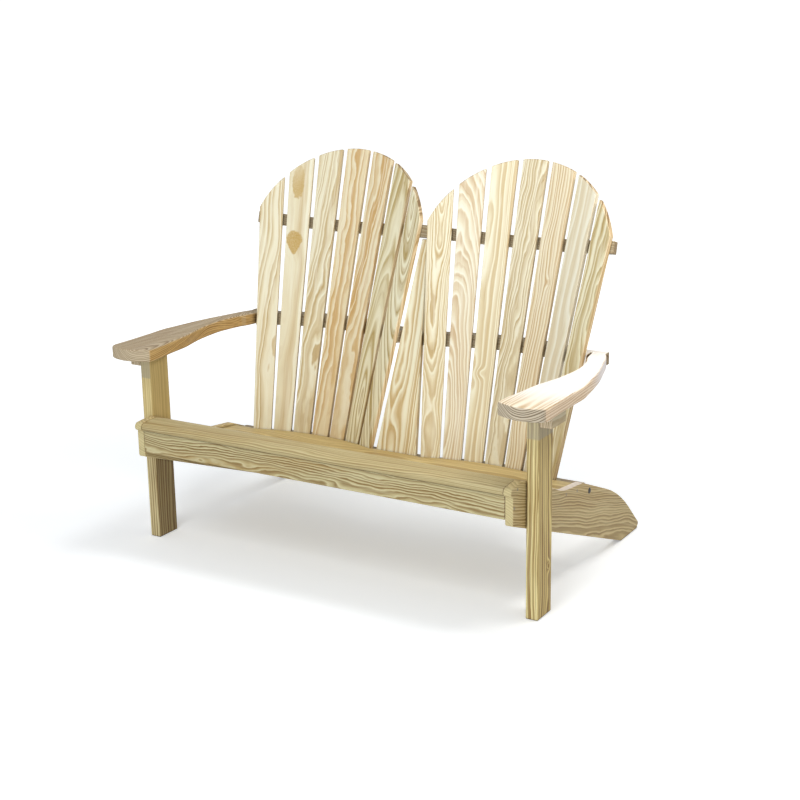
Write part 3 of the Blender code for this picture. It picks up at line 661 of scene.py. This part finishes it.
@dataclass(frozen=True)
class ZincFinish:
    """Dull zinc of a deck screw: mottled grey, scratched finely.

    Attributes:
        name: the finish's name.
        colour: the bright zinc.
        darkness: what it is multiplied by where it is dullest.
        mottle: how many dull spots there are in a metre.
        mottle_span: the noise between which they set in.
        metallic: how much of a metal it is.
        roughness: the least roughness and what a dull spot adds.
        scratch: how many scratches there are in a metre.
    """

    name: str = "dull_zinc"
    colour: Colour = (0.33, 0.31, 0.27)
    darkness: float = 0.45
    mottle: float = 700.0
    mottle_span: Span = (0.35, 0.7)
    metallic: float = 0.85
    roughness: Span = (0.32, 0.35)
    scratch: float = 2600.0

    def dress(self, piece: Piece) -> None:
        """Gives the fasteners their metal, mottled by noise and scratched by a finer one."""
        sheet = NodeSheet.of_material(self.name)
        place = sheet.place()
        mottle = sheet.noise(place, self.mottle, 3.0)
        dull = sheet.between(mottle, *self.mottle_span)
        dark = tuple(v * self.darkness for v in self.colour)
        least, more = self.roughness
        sheet.shade(Base_Color=sheet.tint(dull, self.colour, dark), Metallic=self.metallic,
                    Roughness=sheet.scaled(mottle, more, least))
        sheet.bump(sheet.noise(place, self.scratch, 1.0), {"Strength": 0.3, "Distance": 0.0001})
        sheet.cover(piece)


SLAT_PINE = PineFinish(
    "slat_pine", "pine_pale", spring=(0.80, 0.745, 0.54), summer=(0.50, 0.35, 0.15),
    blush=(0.72, 0.61, 0.37), end=(0.50, 0.37, 0.21), strength=0.90)
PEACH_PINE = replace(
    SLAT_PINE, name="peach_pine", spring=(0.80, 0.71, 0.48), summer=(0.58, 0.355, 0.13),
    blush=(0.72, 0.54, 0.27), strength=0.95, patches=0.8)
ASH_PINE = replace(
    SLAT_PINE, name="ash_pine", spring=(0.745, 0.69, 0.50), summer=(0.44, 0.315, 0.15),
    blush=(0.66, 0.57, 0.36), strength=0.95)
WARM_PINE = replace(
    SLAT_PINE, name="warm_pine", spring=(0.76, 0.69, 0.49), summer=(0.50, 0.33, 0.16),
    blush=(0.70, 0.58, 0.37), strength=1.0)
OLIVE_PINE = replace(
    SLAT_PINE, name="olive_pine", spring=(0.77, 0.715, 0.49), summer=(0.42, 0.30, 0.11),
    blush=(0.60, 0.50, 0.27), side=(0.94, 0.79, 0.68), strength=1.0)
LIGHT_PINE = replace(
    SLAT_PINE, name="light_pine", spring=(0.86, 0.79, 0.56), summer=(0.56, 0.39, 0.165))
MILK_PINE = replace(
    SLAT_PINE, name="milk_pine", spring=(0.73, 0.69, 0.53), summer=(0.54, 0.43, 0.26),
    blush=(0.70, 0.61, 0.44), strength=0.6)
ROSE_PINE = replace(
    SLAT_PINE, name="rose_pine", spring=(0.80, 0.75, 0.57), summer=(0.56, 0.41, 0.24),
    blush=(0.76, 0.65, 0.45))
PLAIN_PINE = replace(
    SLAT_PINE, name="plain_pine", summer=(0.52, 0.36, 0.155), strength=0.62, patches=0.3)
REED_PINE = replace(
    OLIVE_PINE, name="reed_pine", spring=(0.82, 0.765, 0.53), summer=(0.46, 0.335, 0.125),
    blush=(0.66, 0.56, 0.30), lift=(1.07, 1.10, 1.20))
BOLD_PINE = replace(
    REED_PINE, name="bold_pine", spring=(0.87, 0.82, 0.59), summer=(0.45, 0.33, 0.125),
    patches=0.2)

SEAT_PINE = PineFinish(
    "seat_pine", "pine_gold", spring=(0.50, 0.43, 0.225), summer=(0.22, 0.138, 0.045),
    blush=(0.43, 0.295, 0.110), end=(0.56, 0.44, 0.27), strength=1.0, patches=0.85,
    lift=(1.25, 1.34, 1.55), crevice_shade=(0.92, 0.40))
GOLD_PINE = replace(
    SEAT_PINE, name="gold_pine", spring=(0.55, 0.43, 0.19), summer=(0.29, 0.18, 0.055),
    blush=(0.45, 0.32, 0.115), strength=0.8, patches=0.9, lift=(1.15, 1.18, 1.25),
    crevice_shade=(0.76, 0.28))
NOSE_PINE = replace(
    SEAT_PINE, name="nose_pine", spring=(0.50, 0.415, 0.21), summer=(0.24, 0.155, 0.055),
    blush=(0.43, 0.32, 0.135), end=(0.72, 0.58, 0.38), side=WHITE, strength=0.62)
STRINGER_PINE = replace(
    SEAT_PINE, name="stringer_pine", spring=(0.62, 0.49, 0.24), summer=(0.27, 0.165, 0.05),
    blush=(0.52, 0.37, 0.155), end=(0.63, 0.555, 0.30), side=WHITE, end_line=(0.50, 0.42, 0.22),
    strength=0.95, patches=0.8, lift=(1.12, 1.16, 1.30), crevice_shade=(0.76, 0.28))
# Painted highlight: white on the scooped front of the tail, where it looks up
HIGHLIT_STRINGER = replace(
    STRINGER_PINE, name="highlit_stringer",
    painted_light=(PaintedLight((0.86, 0.78, 0.72), 0.8, (-0.30, -0.20), (0.55, 0.90)),))

# Where a painted shadow of the arms greys the front legs just under them, along the legs
UNDER_ARM = (0.226, 0.233)
LEG_PINE = replace(
    SEAT_PINE, name="leg_pine", spring=(0.66, 0.50, 0.185), summer=(0.23, 0.12, 0.028),
    blush=(0.50, 0.35, 0.115), side=(1.06, 1.17, 1.46), crevice_shade=(0.76, 0.28),
    painted_light=(PaintedLight((0.34, 0.32, 0.26), 0.52, UNDER_ARM),))
# Left leg: dark pine as painted shade under the seat, golden higher up, a painted arm shadow in
# front
SHADED_LEG_PINE = replace(
    LEG_PINE, name="shaded_leg_pine", spring=(0.37, 0.275, 0.12), summer=(0.15, 0.08, 0.025),
    blush=(0.28, 0.20, 0.08), side=(1.60, 1.80, 2.10),
    painted_light=(PaintedLight((0.74, 0.59, 0.25), 0.50, (0.02, 0.10)),
            PaintedLight((0.34, 0.31, 0.23), 0.62, UNDER_ARM, (0.5, 0.8), FORWARD)))

# The left arm's pine; its narrow sides are multiplied golden as painted light
GREY_PINE = PineFinish(
    "grey_pine", "pine_grey", spring=(0.49, 0.39, 0.245), summer=(0.18, 0.105, 0.036),
    blush=(0.40, 0.29, 0.17), end=(0.60, 0.51, 0.36), side=(1.18, 0.98, 0.60),
    end_line=(0.26, 0.18, 0.095), strength=0.95)
BLOCK_PINE = replace(
    GREY_PINE, name="block_pine", spring=(0.62, 0.52, 0.35), summer=(0.33, 0.22, 0.10),
    side=(1.0, 1.0, 0.92))
# Right arm: pale pine as painted light, a painted highlight on its top, painted light on its outer
# side
LIT_ARM_PINE = replace(
    GREY_PINE, name="lit_arm_pine", slot="pine_pale", spring=(0.85, 0.75, 0.57),
    summer=(0.44, 0.27, 0.11), blush=(0.82, 0.66, 0.46), end=(0.50, 0.43, 0.32),
    side=(1.03, 0.92, 0.84), end_line=(0.13, 0.095, 0.055), strength=0.9,
    painted_light=(PaintedLight((0.92, 0.89, 0.86), 0.90, (-0.24, -0.08), (0.80, 0.95)),
            PaintedLight((0.84, 0.80, 0.80), 0.80, (0.04, 0.22), (0.60, 0.80), ACROSS)))
RAIL_PINE = PineFinish(
    "rail_pine", "pine_gold", spring=(0.42, 0.35, 0.22), summer=(0.22, 0.15, 0.08),
    blush=(0.32, 0.25, 0.14), end=(0.40, 0.30, 0.18), side=WHITE)
# Middle rail: a painted highlight whitens its right end, with less painted crevice shade
HIGHLIT_RAIL = replace(
    RAIL_PINE, name="highlit_rail", crevice_shade=(0.50, 0.10),
    painted_light=(PaintedLight((0.90, 0.87, 0.83), 0.95, along=(0.46, 0.55)),))


@dataclass
class Board:
    """One board of the bench: its CAD node, finish, growth, the way its best face looks, knots."""

    node: str
    finish: PineFinish
    growth: Growth
    face: Triple = FORWARD
    knots: tuple[Knot, ...] = ()

    def dress(self, nodes: dict[str, Piece]) -> None:
        """Finds the board's frame and gives it its pine."""
        piece = nodes[self.node]
        self.finish.dress(piece, BoardAxes.of_node(piece, self.face), self.growth, self.knots)
        log.info("dressed %s in %s", self.node, self.finish.name)


@dataclass
class FanBack:
    """One dished fan of back slats.

    Attributes:
        side: left or right.
        slats: each slat's finish and growth, from left to right.
        knots: knots by the slat's number.
    """

    side: str
    slats: tuple[tuple[PineFinish, Growth], ...]
    knots: dict[int, tuple[Knot, ...]] = field(default_factory=dict)

    def dress(self, nodes: dict[str, Piece]) -> None:
        """Dresses each slat."""
        for number, (finish, growth) in enumerate(self.slats, start=1):
            Board(f"{self.side}_fan_slat_{number}", finish, growth,
                  knots=self.knots.get(number, ())).dress(nodes)


@dataclass
class BoardSet:
    """A sub-assembly of boards that are dressed one by one."""

    name: str
    boards: tuple[Board, ...]

    def dress(self, nodes: dict[str, Piece]) -> None:
        """Dresses each board."""
        for board in self.boards:
            board.dress(nodes)
        log.info("%s: %d boards", self.name, len(self.boards))


def ring_quads(rings: int, spokes: int) -> np.ndarray:
    """Returns the quads of a round grid whose points run ring by ring, as rows of four numbers."""
    row, column = np.meshgrid(np.arange(rings - 1), np.arange(spokes), indexing="ij")
    here, after = row * spokes + column, row * spokes + (column + 1) % spokes
    return np.stack([here, here + spokes, after + spokes, after], axis=-1).reshape(-1, 4)


def link_piece(name: str, points: np.ndarray, faces: list[list[int]]) -> Piece:
    """Makes a piece at the origin from its points and faces, and links it to the scene."""
    mesh = bpy.data.meshes.new(name)
    mesh.from_pydata(points.tolist(), [], faces)
    mesh.update()
    piece = bpy.data.objects.new(name, mesh)
    bpy.context.scene.collection.objects.link(piece)
    return piece


@dataclass
class Heads:
    """Fasteners' heads as one mesh.

    Attributes:
        name: the piece's name.
        places: where each head's middle lies.
        facings: the way each head looks.
    """

    name: str
    places: np.ndarray
    facings: np.ndarray

    def ride(self, points: np.ndarray, faces: list[list[int]]) -> Piece:
        """Makes the piece from its points and faces, and rides it on the bench."""
        piece = link_piece(self.name, points, faces)
        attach(piece, "root")
        log.info("built %s: %d heads", self.name, len(self.places))
        return piece


@dataclass
class Bolts(Heads):
    """Dome-headed bolts that look along x, the way given by its sign.

    Attributes:
        radius: the head's radius.
        height: how far the dome stands out.
        fullness: how squarely the dome falls off towards its rim.
        sink: how far the rim sinks into the wood.
        rings: how many rings of points a head has.
        spokes: how many points a ring has.
    """

    radius: float = 0.0095
    height: float = 0.0035
    fullness: float = 2.4
    sink: float = 0.0002
    rings: int = 14
    spokes: int = 44

    def build(self) -> Piece:
        """Builds the heads and rides them on the bench.

        At the share s of the radius the dome stands height * (1 - s^fullness) out, and its rim
        sinks a hair.

        Returns:
            The piece.
        """
        angles = np.linspace(0, 2 * np.pi, self.spokes, False)
        share, angle = np.meshgrid(np.linspace(0.0, 1.0, self.rings), angles, indexing="ij")
        out = self.height * (1 - share ** self.fullness) - self.sink * (share >= 1.0)
        across = self.radius * share
        quads = ring_quads(self.rings, self.spokes)
        points, faces = [], []
        for number, (place, facing) in enumerate(zip(self.places, self.facings)):
            dome = [facing * out, facing * across * np.cos(angle), across * np.sin(angle)]
            points.append(np.stack(dome, axis=-1).reshape(-1, 3) + place)
            faces.append(quads + number * out.size)
        return self.ride(np.vstack(points), np.vstack(faces).tolist())


@dataclass
class Screws(Heads):
    """Countersunk deck screws with a cross recess.

    Attributes:
        radius: the head's radius.
        proud: how far the rim stands out.
        recess: the recess's depth.
        arms: the share of the radius at which the cross's arms end, and their soft run.
        hub: the same for the round hollow in its middle.
        turn: how far each next screw is turned, in radians.
        rings: how many rings of points a head has.
        spokes: how many points a ring has.
    """

    radius: float = 0.0042
    proud: float = 0.0003
    recess: float = 0.0016
    arms: Span = (0.62, 0.12)
    hub: Span = (0.30, 0.1)
    turn: float = 0.7
    rings: int = 12
    spokes: int = 40

    def head(self) -> np.ndarray:
        """Works out one head about the origin, looking along +Z.

        At the share s of the radius and the angle a, the height is proud * (1 - s^6) less the
        recess's depth where the point lies within the cross. The cross is the product of a soft
        step in s and the eighth power of the cosine of 2a.

        Returns:
            The points ring by ring, and the middle last.
        """
        share = np.linspace(0.0, 1.0, self.rings + 1)[1:]
        angle = np.linspace(0.0, 2 * np.pi, self.spokes, endpoint=False)
        s, a = np.meshgrid(share, angle, indexing="ij")
        arms, hub = (np.clip((edge - s) / soft, 0, 1) for edge, soft in (self.arms, self.hub))
        cross = arms * np.maximum(np.cos(2 * a) ** 8, hub)
        height = self.proud * (1 - s ** 6) - self.recess * cross
        height[-1] = -self.proud
        grid = [s * self.radius * np.cos(a), s * self.radius * np.sin(a), height]
        middle = [[0.0, 0.0, self.proud - self.recess]]
        return np.vstack([np.stack(grid, axis=-1).reshape(-1, 3), middle])

    def build(self) -> Piece:
        """Sets a copy of the head at each place, turned to its facing, and rides it on the bench.

        Returns:
            The piece.
        """
        points = self.head()
        facing = self.facings / np.linalg.norm(self.facings, axis=1)[:, None]
        guide = np.where(np.abs(facing[:, 2:]) > 0.9, [ACROSS], [UP])
        across = np.cross(guide, facing)
        across /= np.linalg.norm(across, axis=1)[:, None]
        frames = np.stack([across, np.cross(facing, across), facing], axis=1)
        count = len(facing)
        spin = (np.arange(count) * self.turn)[:, None]
        x, y, z = points.T
        turned = np.stack([np.cos(spin) * x - np.sin(spin) * y, np.sin(spin) * x + np.cos(spin) * y,
                           np.broadcast_to(z, (count, len(points)))], axis=-1)
        placed = np.einsum("npk,nkj->npj", turned, frames) + self.places[:, None, :]
        offsets = np.arange(count)[:, None, None] * len(points)
        quads = (ring_quads(self.rings, self.spokes)[None] + offsets).reshape(-1, 4)
        hubs = offsets[:, 0] + len(points) - 1
        first = np.arange(self.spokes)[None]
        fans = np.stack([np.broadcast_to(hubs, (count, self.spokes)), first + offsets[:, 0],
                         (first + 1) % self.spokes + offsets[:, 0]], axis=-1).reshape(-1, 3)
        return self.ride(placed.reshape(-1, 3), quads.tolist() + fans.tolist())


@dataclass(frozen=True)
class Lamp:
    """A square soft lamp that looks at the bench's middle.

    Attributes:
        place: where it hangs.
        power: its power in watts.
        size: the length of its side.
        warmth: its colour.
        target: the place that it looks at.
    """

    name: str
    place: Triple
    power: float
    size: float
    warmth: Colour = (1.0, 0.995, 0.98)
    target: Triple = (0.0, 0.0, 0.5)

    def hang(self) -> None:
        """Hangs the lamp, unseen by the camera."""
        data = bpy.data.lights.new(self.name, "AREA")
        data.energy = self.power
        data.size = self.size
        data.color = self.warmth
        lamp = bpy.data.objects.new(self.name, data)
        lamp.location = self.place
        lamp.visible_camera = False
        view = Vector(self.target) - Vector(self.place)
        lamp.rotation_euler = view.to_track_quat("-Z", "Y").to_euler()
        bpy.context.scene.collection.objects.link(lamp)


@dataclass
class Studio:
    """The floor, the light and the camera.

    Attributes:
        floor_reach: half the floor's side.
        floor_steps: how many cells it has along a side.
        floor_sink: how far it lies under the feet.
        floor_tints: the two colours of its faint specks.
        speck: how many specks there are in a metre.
        glow: how much whiter the floor looks than its light makes it, near the bench and far off.
        glow_span: the distances from the shadow's middle between which it whitens.
        glow_shift: how far in front of the origin the shadow's middle lies.
        glow_stretch: how much faster it whitens along y.
        daylight: the surrounding's strength as light.
        lamps: the lamps.
        eye: the camera's place, measured in y from the apron's front.
        yaw: the camera's turn round the upright, in degrees.
        pitch: how far it looks down.
        roll: how far it leans.
        lens: its focal length.
        sensor: the width of its sensor, in mm as the focal length.
    """

    floor_reach: float = 60.0
    floor_steps: int = 8
    floor_sink: float = 0.0005
    floor_tints: tuple[Colour, Colour] = ((0.88, 0.92, 0.96), (0.90, 0.94, 0.98))
    speck: float = 3.0
    glow: Span = (0.31, 0.75)
    glow_span: Span = (1.0, 4.0)
    glow_shift: float = 0.25
    glow_stretch: float = 1.3
    daylight: float = 0.38
    lamps: tuple[Lamp, ...] = (Lamp("key", (1.15, 0.05, 1.75), 8.5, 0.5, (1.0, 0.94, 0.87)),
                               Lamp("top", (0.6, 0.9, 6.0), 76.0, 1.5, WHITE),
                               Lamp("front", (0.3, -3.0, 4.0), 40.0, 0.9),
                               Lamp("fill", (0.9, -4.6, 1.5), 71.0, 2.0))
    eye: Triple = (2.4494, -3.5440, 1.8181)
    yaw: float = 31.1709
    pitch: float = 16.1855
    roll: float = -0.9268
    lens: float = 69.654
    sensor: float = 36.0

    def floor(self) -> None:
        """Lays a pale floor that keeps the bench's shadow: a flat grid, z = 0 less a hair."""
        side = self.floor_steps + 1
        steps = np.linspace(-self.floor_reach, self.floor_reach, side)
        x, y = np.meshgrid(steps, steps, indexing="ij")
        points = np.stack([x, y, np.full_like(x, -self.floor_sink)], axis=-1).reshape(-1, 3)
        cells = np.arange(self.floor_steps)
        corner = cells[:, None] * side + cells
        quads = np.stack([corner, corner + side, corner + side + 1, corner + 1], axis=-1)
        piece = link_piece("floor", points, quads.reshape(-1, 4).tolist())
        sheet = NodeSheet.of_material("pale_floor")
        speck = sheet.noise(sheet.place(), self.speck)
        shift = (0.0, self.glow_shift, 0.0)
        ground = sheet.vector("ADD", sheet.place(), shift).outputs[0]
        ground = sheet.stretch(ground, (1.0, self.glow_stretch, 1.0))
        reach = sheet.vector("LENGTH", ground).outputs["Value"]
        glow = sheet.between(reach, *self.glow_span, *self.glow)
        sheet.shade(Base_Color=sheet.tint(speck, *self.floor_tints), Roughness=0.9,
                    Specular_IOR_Level=0.0, Emission_Color=(*WHITE, 1.0),
                    Emission_Strength=sheet.times(sheet.seen(), glow))
        sheet.cover(piece)

    def sky(self) -> None:
        """Makes an even surrounding: white where it is seen, softer as light."""
        sheet = NodeSheet(bpy.data.worlds.new("studio"), "Background")
        feeds = {"Value": sheet.seen(), "To Min": self.daylight, "To Max": 1.0}
        strength = sheet.node("MapRange", feeds).outputs["Result"]
        sheet.shade(Color=(*WHITE, 1.0), Strength=strength)
        bpy.context.scene.world = sheet.owner

    def camera(self) -> None:
        """Sets the camera at the photograph's angle."""
        yaw, pitch, roll = (math.radians(v) for v in (self.yaw, self.pitch, self.roll))
        back = Vector((math.sin(yaw) * math.cos(pitch), -math.cos(yaw) * math.cos(pitch),
                       math.sin(pitch)))
        right = (-back).cross(Vector(UP)).normalized()
        up = right.cross(-back)
        level = Matrix((math.cos(roll) * right + math.sin(roll) * up,
                        -math.sin(roll) * right + math.cos(roll) * up, back)).transposed()
        data = bpy.data.cameras.new("camera")
        data.lens = self.lens
        data.sensor_width = self.sensor
        camera = bpy.data.objects.new("camera", data)
        place = Vector(self.eye) + Vector((0.0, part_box("front_apron")[0].y, 0.0))
        camera.matrix_world = Matrix.Translation(place) @ level.to_4x4()
        bpy.context.scene.collection.objects.link(camera)
        bpy.context.scene.camera = camera

    def build(self) -> None:
        """Builds the floor, the surrounding, the lamps and the camera."""
        self.floor()
        self.sky()
        for lamp in self.lamps:
            lamp.hang()
        self.camera()
        bpy.context.scene.view_settings.view_transform = "Standard"


# Places on a side board's outer face: how far behind its front end, and how high
SCREW_SPOTS = np.array([(0.007, 0.354), (0.027, 0.403), (0.343, 0.289), (0.419, 0.277)])
BOLT_SPOT = (0.507, 0.250)


def outer_faces() -> tuple[tuple[float, float], ...]:
    """Returns each side board's outer side, as the way it looks along x and its place."""
    return ((-1.0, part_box("stringer_left")[0].x), (1.0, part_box("stringer_right")[1].x))


def stringer_screws(front: float) -> Screws:
    """Places the screws on the side boards' outer faces.

    Args:
        front: the y of the side boards' front ends.

    Returns:
        The screws.
    """
    places = [(x, front + behind, up) for _, x in outer_faces() for behind, up in SCREW_SPOTS]
    facings = [(side, 0.0, 0.0) for side, _ in outer_faces() for _ in SCREW_SPOTS]
    return Screws("stringer_screws", np.array(places), np.array(facings))


def rail_bolts(front: float) -> Bolts:
    """Places a bolt on each side board's outer face, where the lower rail's end meets it.

    Args:
        front: the y of the side boards' front ends.

    Returns:
        The bolts.
    """
    behind, up = BOLT_SPOT
    places = np.array([(x, front + behind, up) for _, x in outer_faces()])
    return Bolts("rail_bolts", places, np.array([side for side, _ in outer_faces()]))


def rail_screws(nodes: dict[str, Piece], start: float = 0.2,
                least_facing: float = 0.5) -> Screws:
    """Places a screw behind every slat on each rail's rear.

    It goes where a line straight forward, level with the rail's middle, first meets the rail.

    Args:
        nodes: the bench's pieces by name.
        start: how far behind the rail the line starts.
        least_facing: how far the place must look backwards.

    Returns:
        The screws.
    """
    fans = [f"{side}_fan_slat_{number}" for side in ("left", "right") for number in range(1, 8)]
    places, facings = [], []
    for rail in ("back_rail_lower", "back_rail_middle", "back_rail_upper"):
        low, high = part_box(rail)
        level = (low.z + high.z) / 2
        for slat in (*fans, "centre_slat"):
            board = BoardAxes.of_node(nodes[slat], FORWARD)
            long = board.axes[2]
            line = board.middle + long * (level - board.middle[2]) / long[2]
            behind = Vector((line[0], high.y + start, level))
            hit, place, normal, _ = nodes[rail].ray_cast(behind, Vector(FORWARD))
            if hit and normal.y > least_facing:
                places.append(list(place))
                facings.append(list(normal))
    return Screws("rail_screws", np.array(places), np.array(facings))


def fan_backs() -> tuple[FanBack, FanBack]:
    """Names the finish, growth and knots of each fan's slats, from left to right."""
    left = FanBack("left", (
        (SLAT_PINE, Growth(RIFT, ring=0.0120, drift=0.08, ripple=2.0, seed=1.3)),
        (PLAIN_PINE, Growth(FLAT, ring=0.024, aside=-0.022, wander=0.010, wave=0.010, seed=8.9)),
        (SLAT_PINE, Growth(RIFT, ring=0.0115, drift=0.10, wave=0.026, ripple=1.7, seed=14.2)),
        (PEACH_PINE, Growth(RIFT, ring=0.0150, drift=0.03, wave=0.030, ripple=2.2, seed=21.7)),
        (PEACH_PINE, Growth(RIFT, ring=0.0160, drift=0.07, wave=0.034, ripple=2.2, seed=28.4)),
        (REED_PINE, Growth(HEART, ring=0.0120, lean=0.075, aside=0.012, wave=0.014, seed=35.1)),
        (BOLD_PINE, Growth(NEAR, ring=0.0098, lean=-0.15, drift=-0.11, aside=0.032,
                           wander=0.010, wave=0.007, seed=42.6)),
    ), {2: (Knot(0.188, -0.0085, 0.025, 1.5, core=0.95, push=0.12, taper=0.45),
            Knot(0.392, -0.0085, 0.021, 2.6, core=0.85, push=0.05, fade=0.45))})
    right = FanBack("right", (
        (SLAT_PINE, Growth(HEART, ring=0.0052, lean=-0.052, aside=-0.006, wave=0.014,
                           ripple=2.4, seed=51.3)),
        (ROSE_PINE, Growth(CROWN, ring=0.0080, lean=0.15, aside=-0.032, wander=0.012,
                           ripple=1.6, seed=58.8)),
        (PLAIN_PINE, Growth(CROWN, ring=0.0095, aside=-0.034, wander=0.010, wave=0.010,
                            seed=63.5)),
        (ASH_PINE, Growth(RIFT, ring=0.0088, drift=0.08, wave=0.030, ripple=1.8, seed=70.4)),
        (WARM_PINE, Growth(QUARTER, ring=0.0100, wave=0.018, seed=77.1)),
        (MILK_PINE, Growth(RIFT, ring=0.0160, wave=0.014, seed=84.9)),
        (OLIVE_PINE, Growth(RIFT, ring=0.0110, wave=0.022, ripple=1.7, seed=91.6)),
    ), {3: (Knot(-0.190, -0.006, 0.008, 1.0, core=0.0, push=1.5),),
        5: (Knot(0.115, 0.016, 0.006, 1.6, core=0.3),)})
    return left, right


def bench_boards() -> tuple[BoardSet | FanBack, ...]:
    """Names every board's finish and growth, sub-assembly by sub-assembly.

    Returns:
        The sub-assemblies in the order in which they are dressed.
    """
    middle = BoardSet("back", (
        Board("centre_slat", LIGHT_PINE,
              Growth(CROWN, ring=0.0085, aside=-0.024, wander=0.010, wave=0.012, ripple=1.6,
                     seed=98.2),
              knots=(Knot(-0.101, -0.0185, 0.013, 2.8, core=0.0, push=0.8),)),
        Board("back_rail_lower", RAIL_PINE, Growth(FLAT, seed=101.7)),
        Board("back_rail_middle", HIGHLIT_RAIL, Growth(RIFT, seed=108.3)),
        Board("back_rail_upper", RAIL_PINE, Growth(FLAT, seed=115.9)),
    ))
    seat = BoardSet("seat", (
        Board("front_apron", SEAT_PINE,
              Growth(FLAT, ring=0.0058, aside=0.066, wave=0.021, ripple=2.2, seed=122.4)),
        Board("seat_board_front", NOSE_PINE,
              Growth(RIFT, ring=0.0048, wave=0.010, seed=129.8), UP),
        Board("seat_slat_1", GOLD_PINE, Growth(FLAT, seed=136.1), UP),
        Board("seat_slat_2", GOLD_PINE, Growth(RIFT, seed=143.7), UP),
        Board("seat_slat_3", GOLD_PINE, Growth(FLAT, seed=150.2), UP),
        Board("seat_board_rear", GOLD_PINE, Growth(FLAT, seed=157.5), UP),
        Board("seat_cleat_left", SEAT_PINE, Growth(RIFT, seed=164.3), ACROSS),
        Board("seat_cleat_right", SEAT_PINE, Growth(RIFT, seed=171.9), INWARDS),
        Board("seat_brace", SEAT_PINE, Growth(RIFT, seed=178.6), ACROSS),
        Board("stringer_left", STRINGER_PINE,
              Growth(RIFT, ring=0.0066, drift=-0.06, aside=0.095, wave=0.015, ripple=1.5,
                     seed=185.2), INWARDS),
        Board("stringer_right", HIGHLIT_STRINGER,
              Growth(RIFT, ring=0.0066, drift=-0.06, aside=0.092, wave=0.016, ripple=1.5,
                     seed=192.7), ACROSS),
    ))
    arms = BoardSet("arms and legs", (
        Board("front_leg_left", SHADED_LEG_PINE,
              Growth(SLANT, ring=0.0060, wander=0.008, wave=0.005, ripple=2.0, seed=199.4),
              ACROSS),
        Board("front_leg_right", LEG_PINE,
              Growth(SLANT, ring=0.0058, wander=0.010, wave=0.006, ripple=2.0, seed=206.8),
              ACROSS, (Knot(-0.160, 0.024, 0.005),)),
        Board("arm_left", GREY_PINE, Growth(RIFT, ring=0.0050, seed=213.3, flip=-1.0), UP,
              (Knot(0.12, 0.03, 0.06, 2.0, core=0.0, push=1.2),)),
        Board("arm_right", LIT_ARM_PINE,
              Growth(BARK, ring=0.0062, wander=0.012, wave=0.008, seed=220.9, flip=-1.0), UP),
        Board("arm_block_left", BLOCK_PINE, Growth(QUARTER, seed=227.6)),
        Board("arm_block_right", BLOCK_PINE, Growth(QUARTER, seed=234.1)),
    ))
    return (*fan_backs(), middle, seat, arms)


def corners(box: tuple[Vector, Vector]) -> list[list[float]]:
    """Returns a box's two corners as plain lists."""
    return [list(map(float, corner)) for corner in box]


def main() -> None:
    """Loads the frame, dresses every board, adds the screws and sets up the studio."""
    logging.basicConfig(level=logging.INFO, format="%(name)s: %(message)s")
    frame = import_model()
    for assembly in bench_boards():
        assembly.dress(frame["nodes"])
    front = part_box("front_apron")[0].y
    zinc = ZincFinish()
    zinc.dress(stringer_screws(front).build())
    zinc.dress(rail_screws(frame["nodes"]).build())
    ZincFinish("dark_bolt", (0.10, 0.095, 0.09)).dress(rail_bolts(front).build())
    Studio().build()


if __name__ == "__main__":
    main()
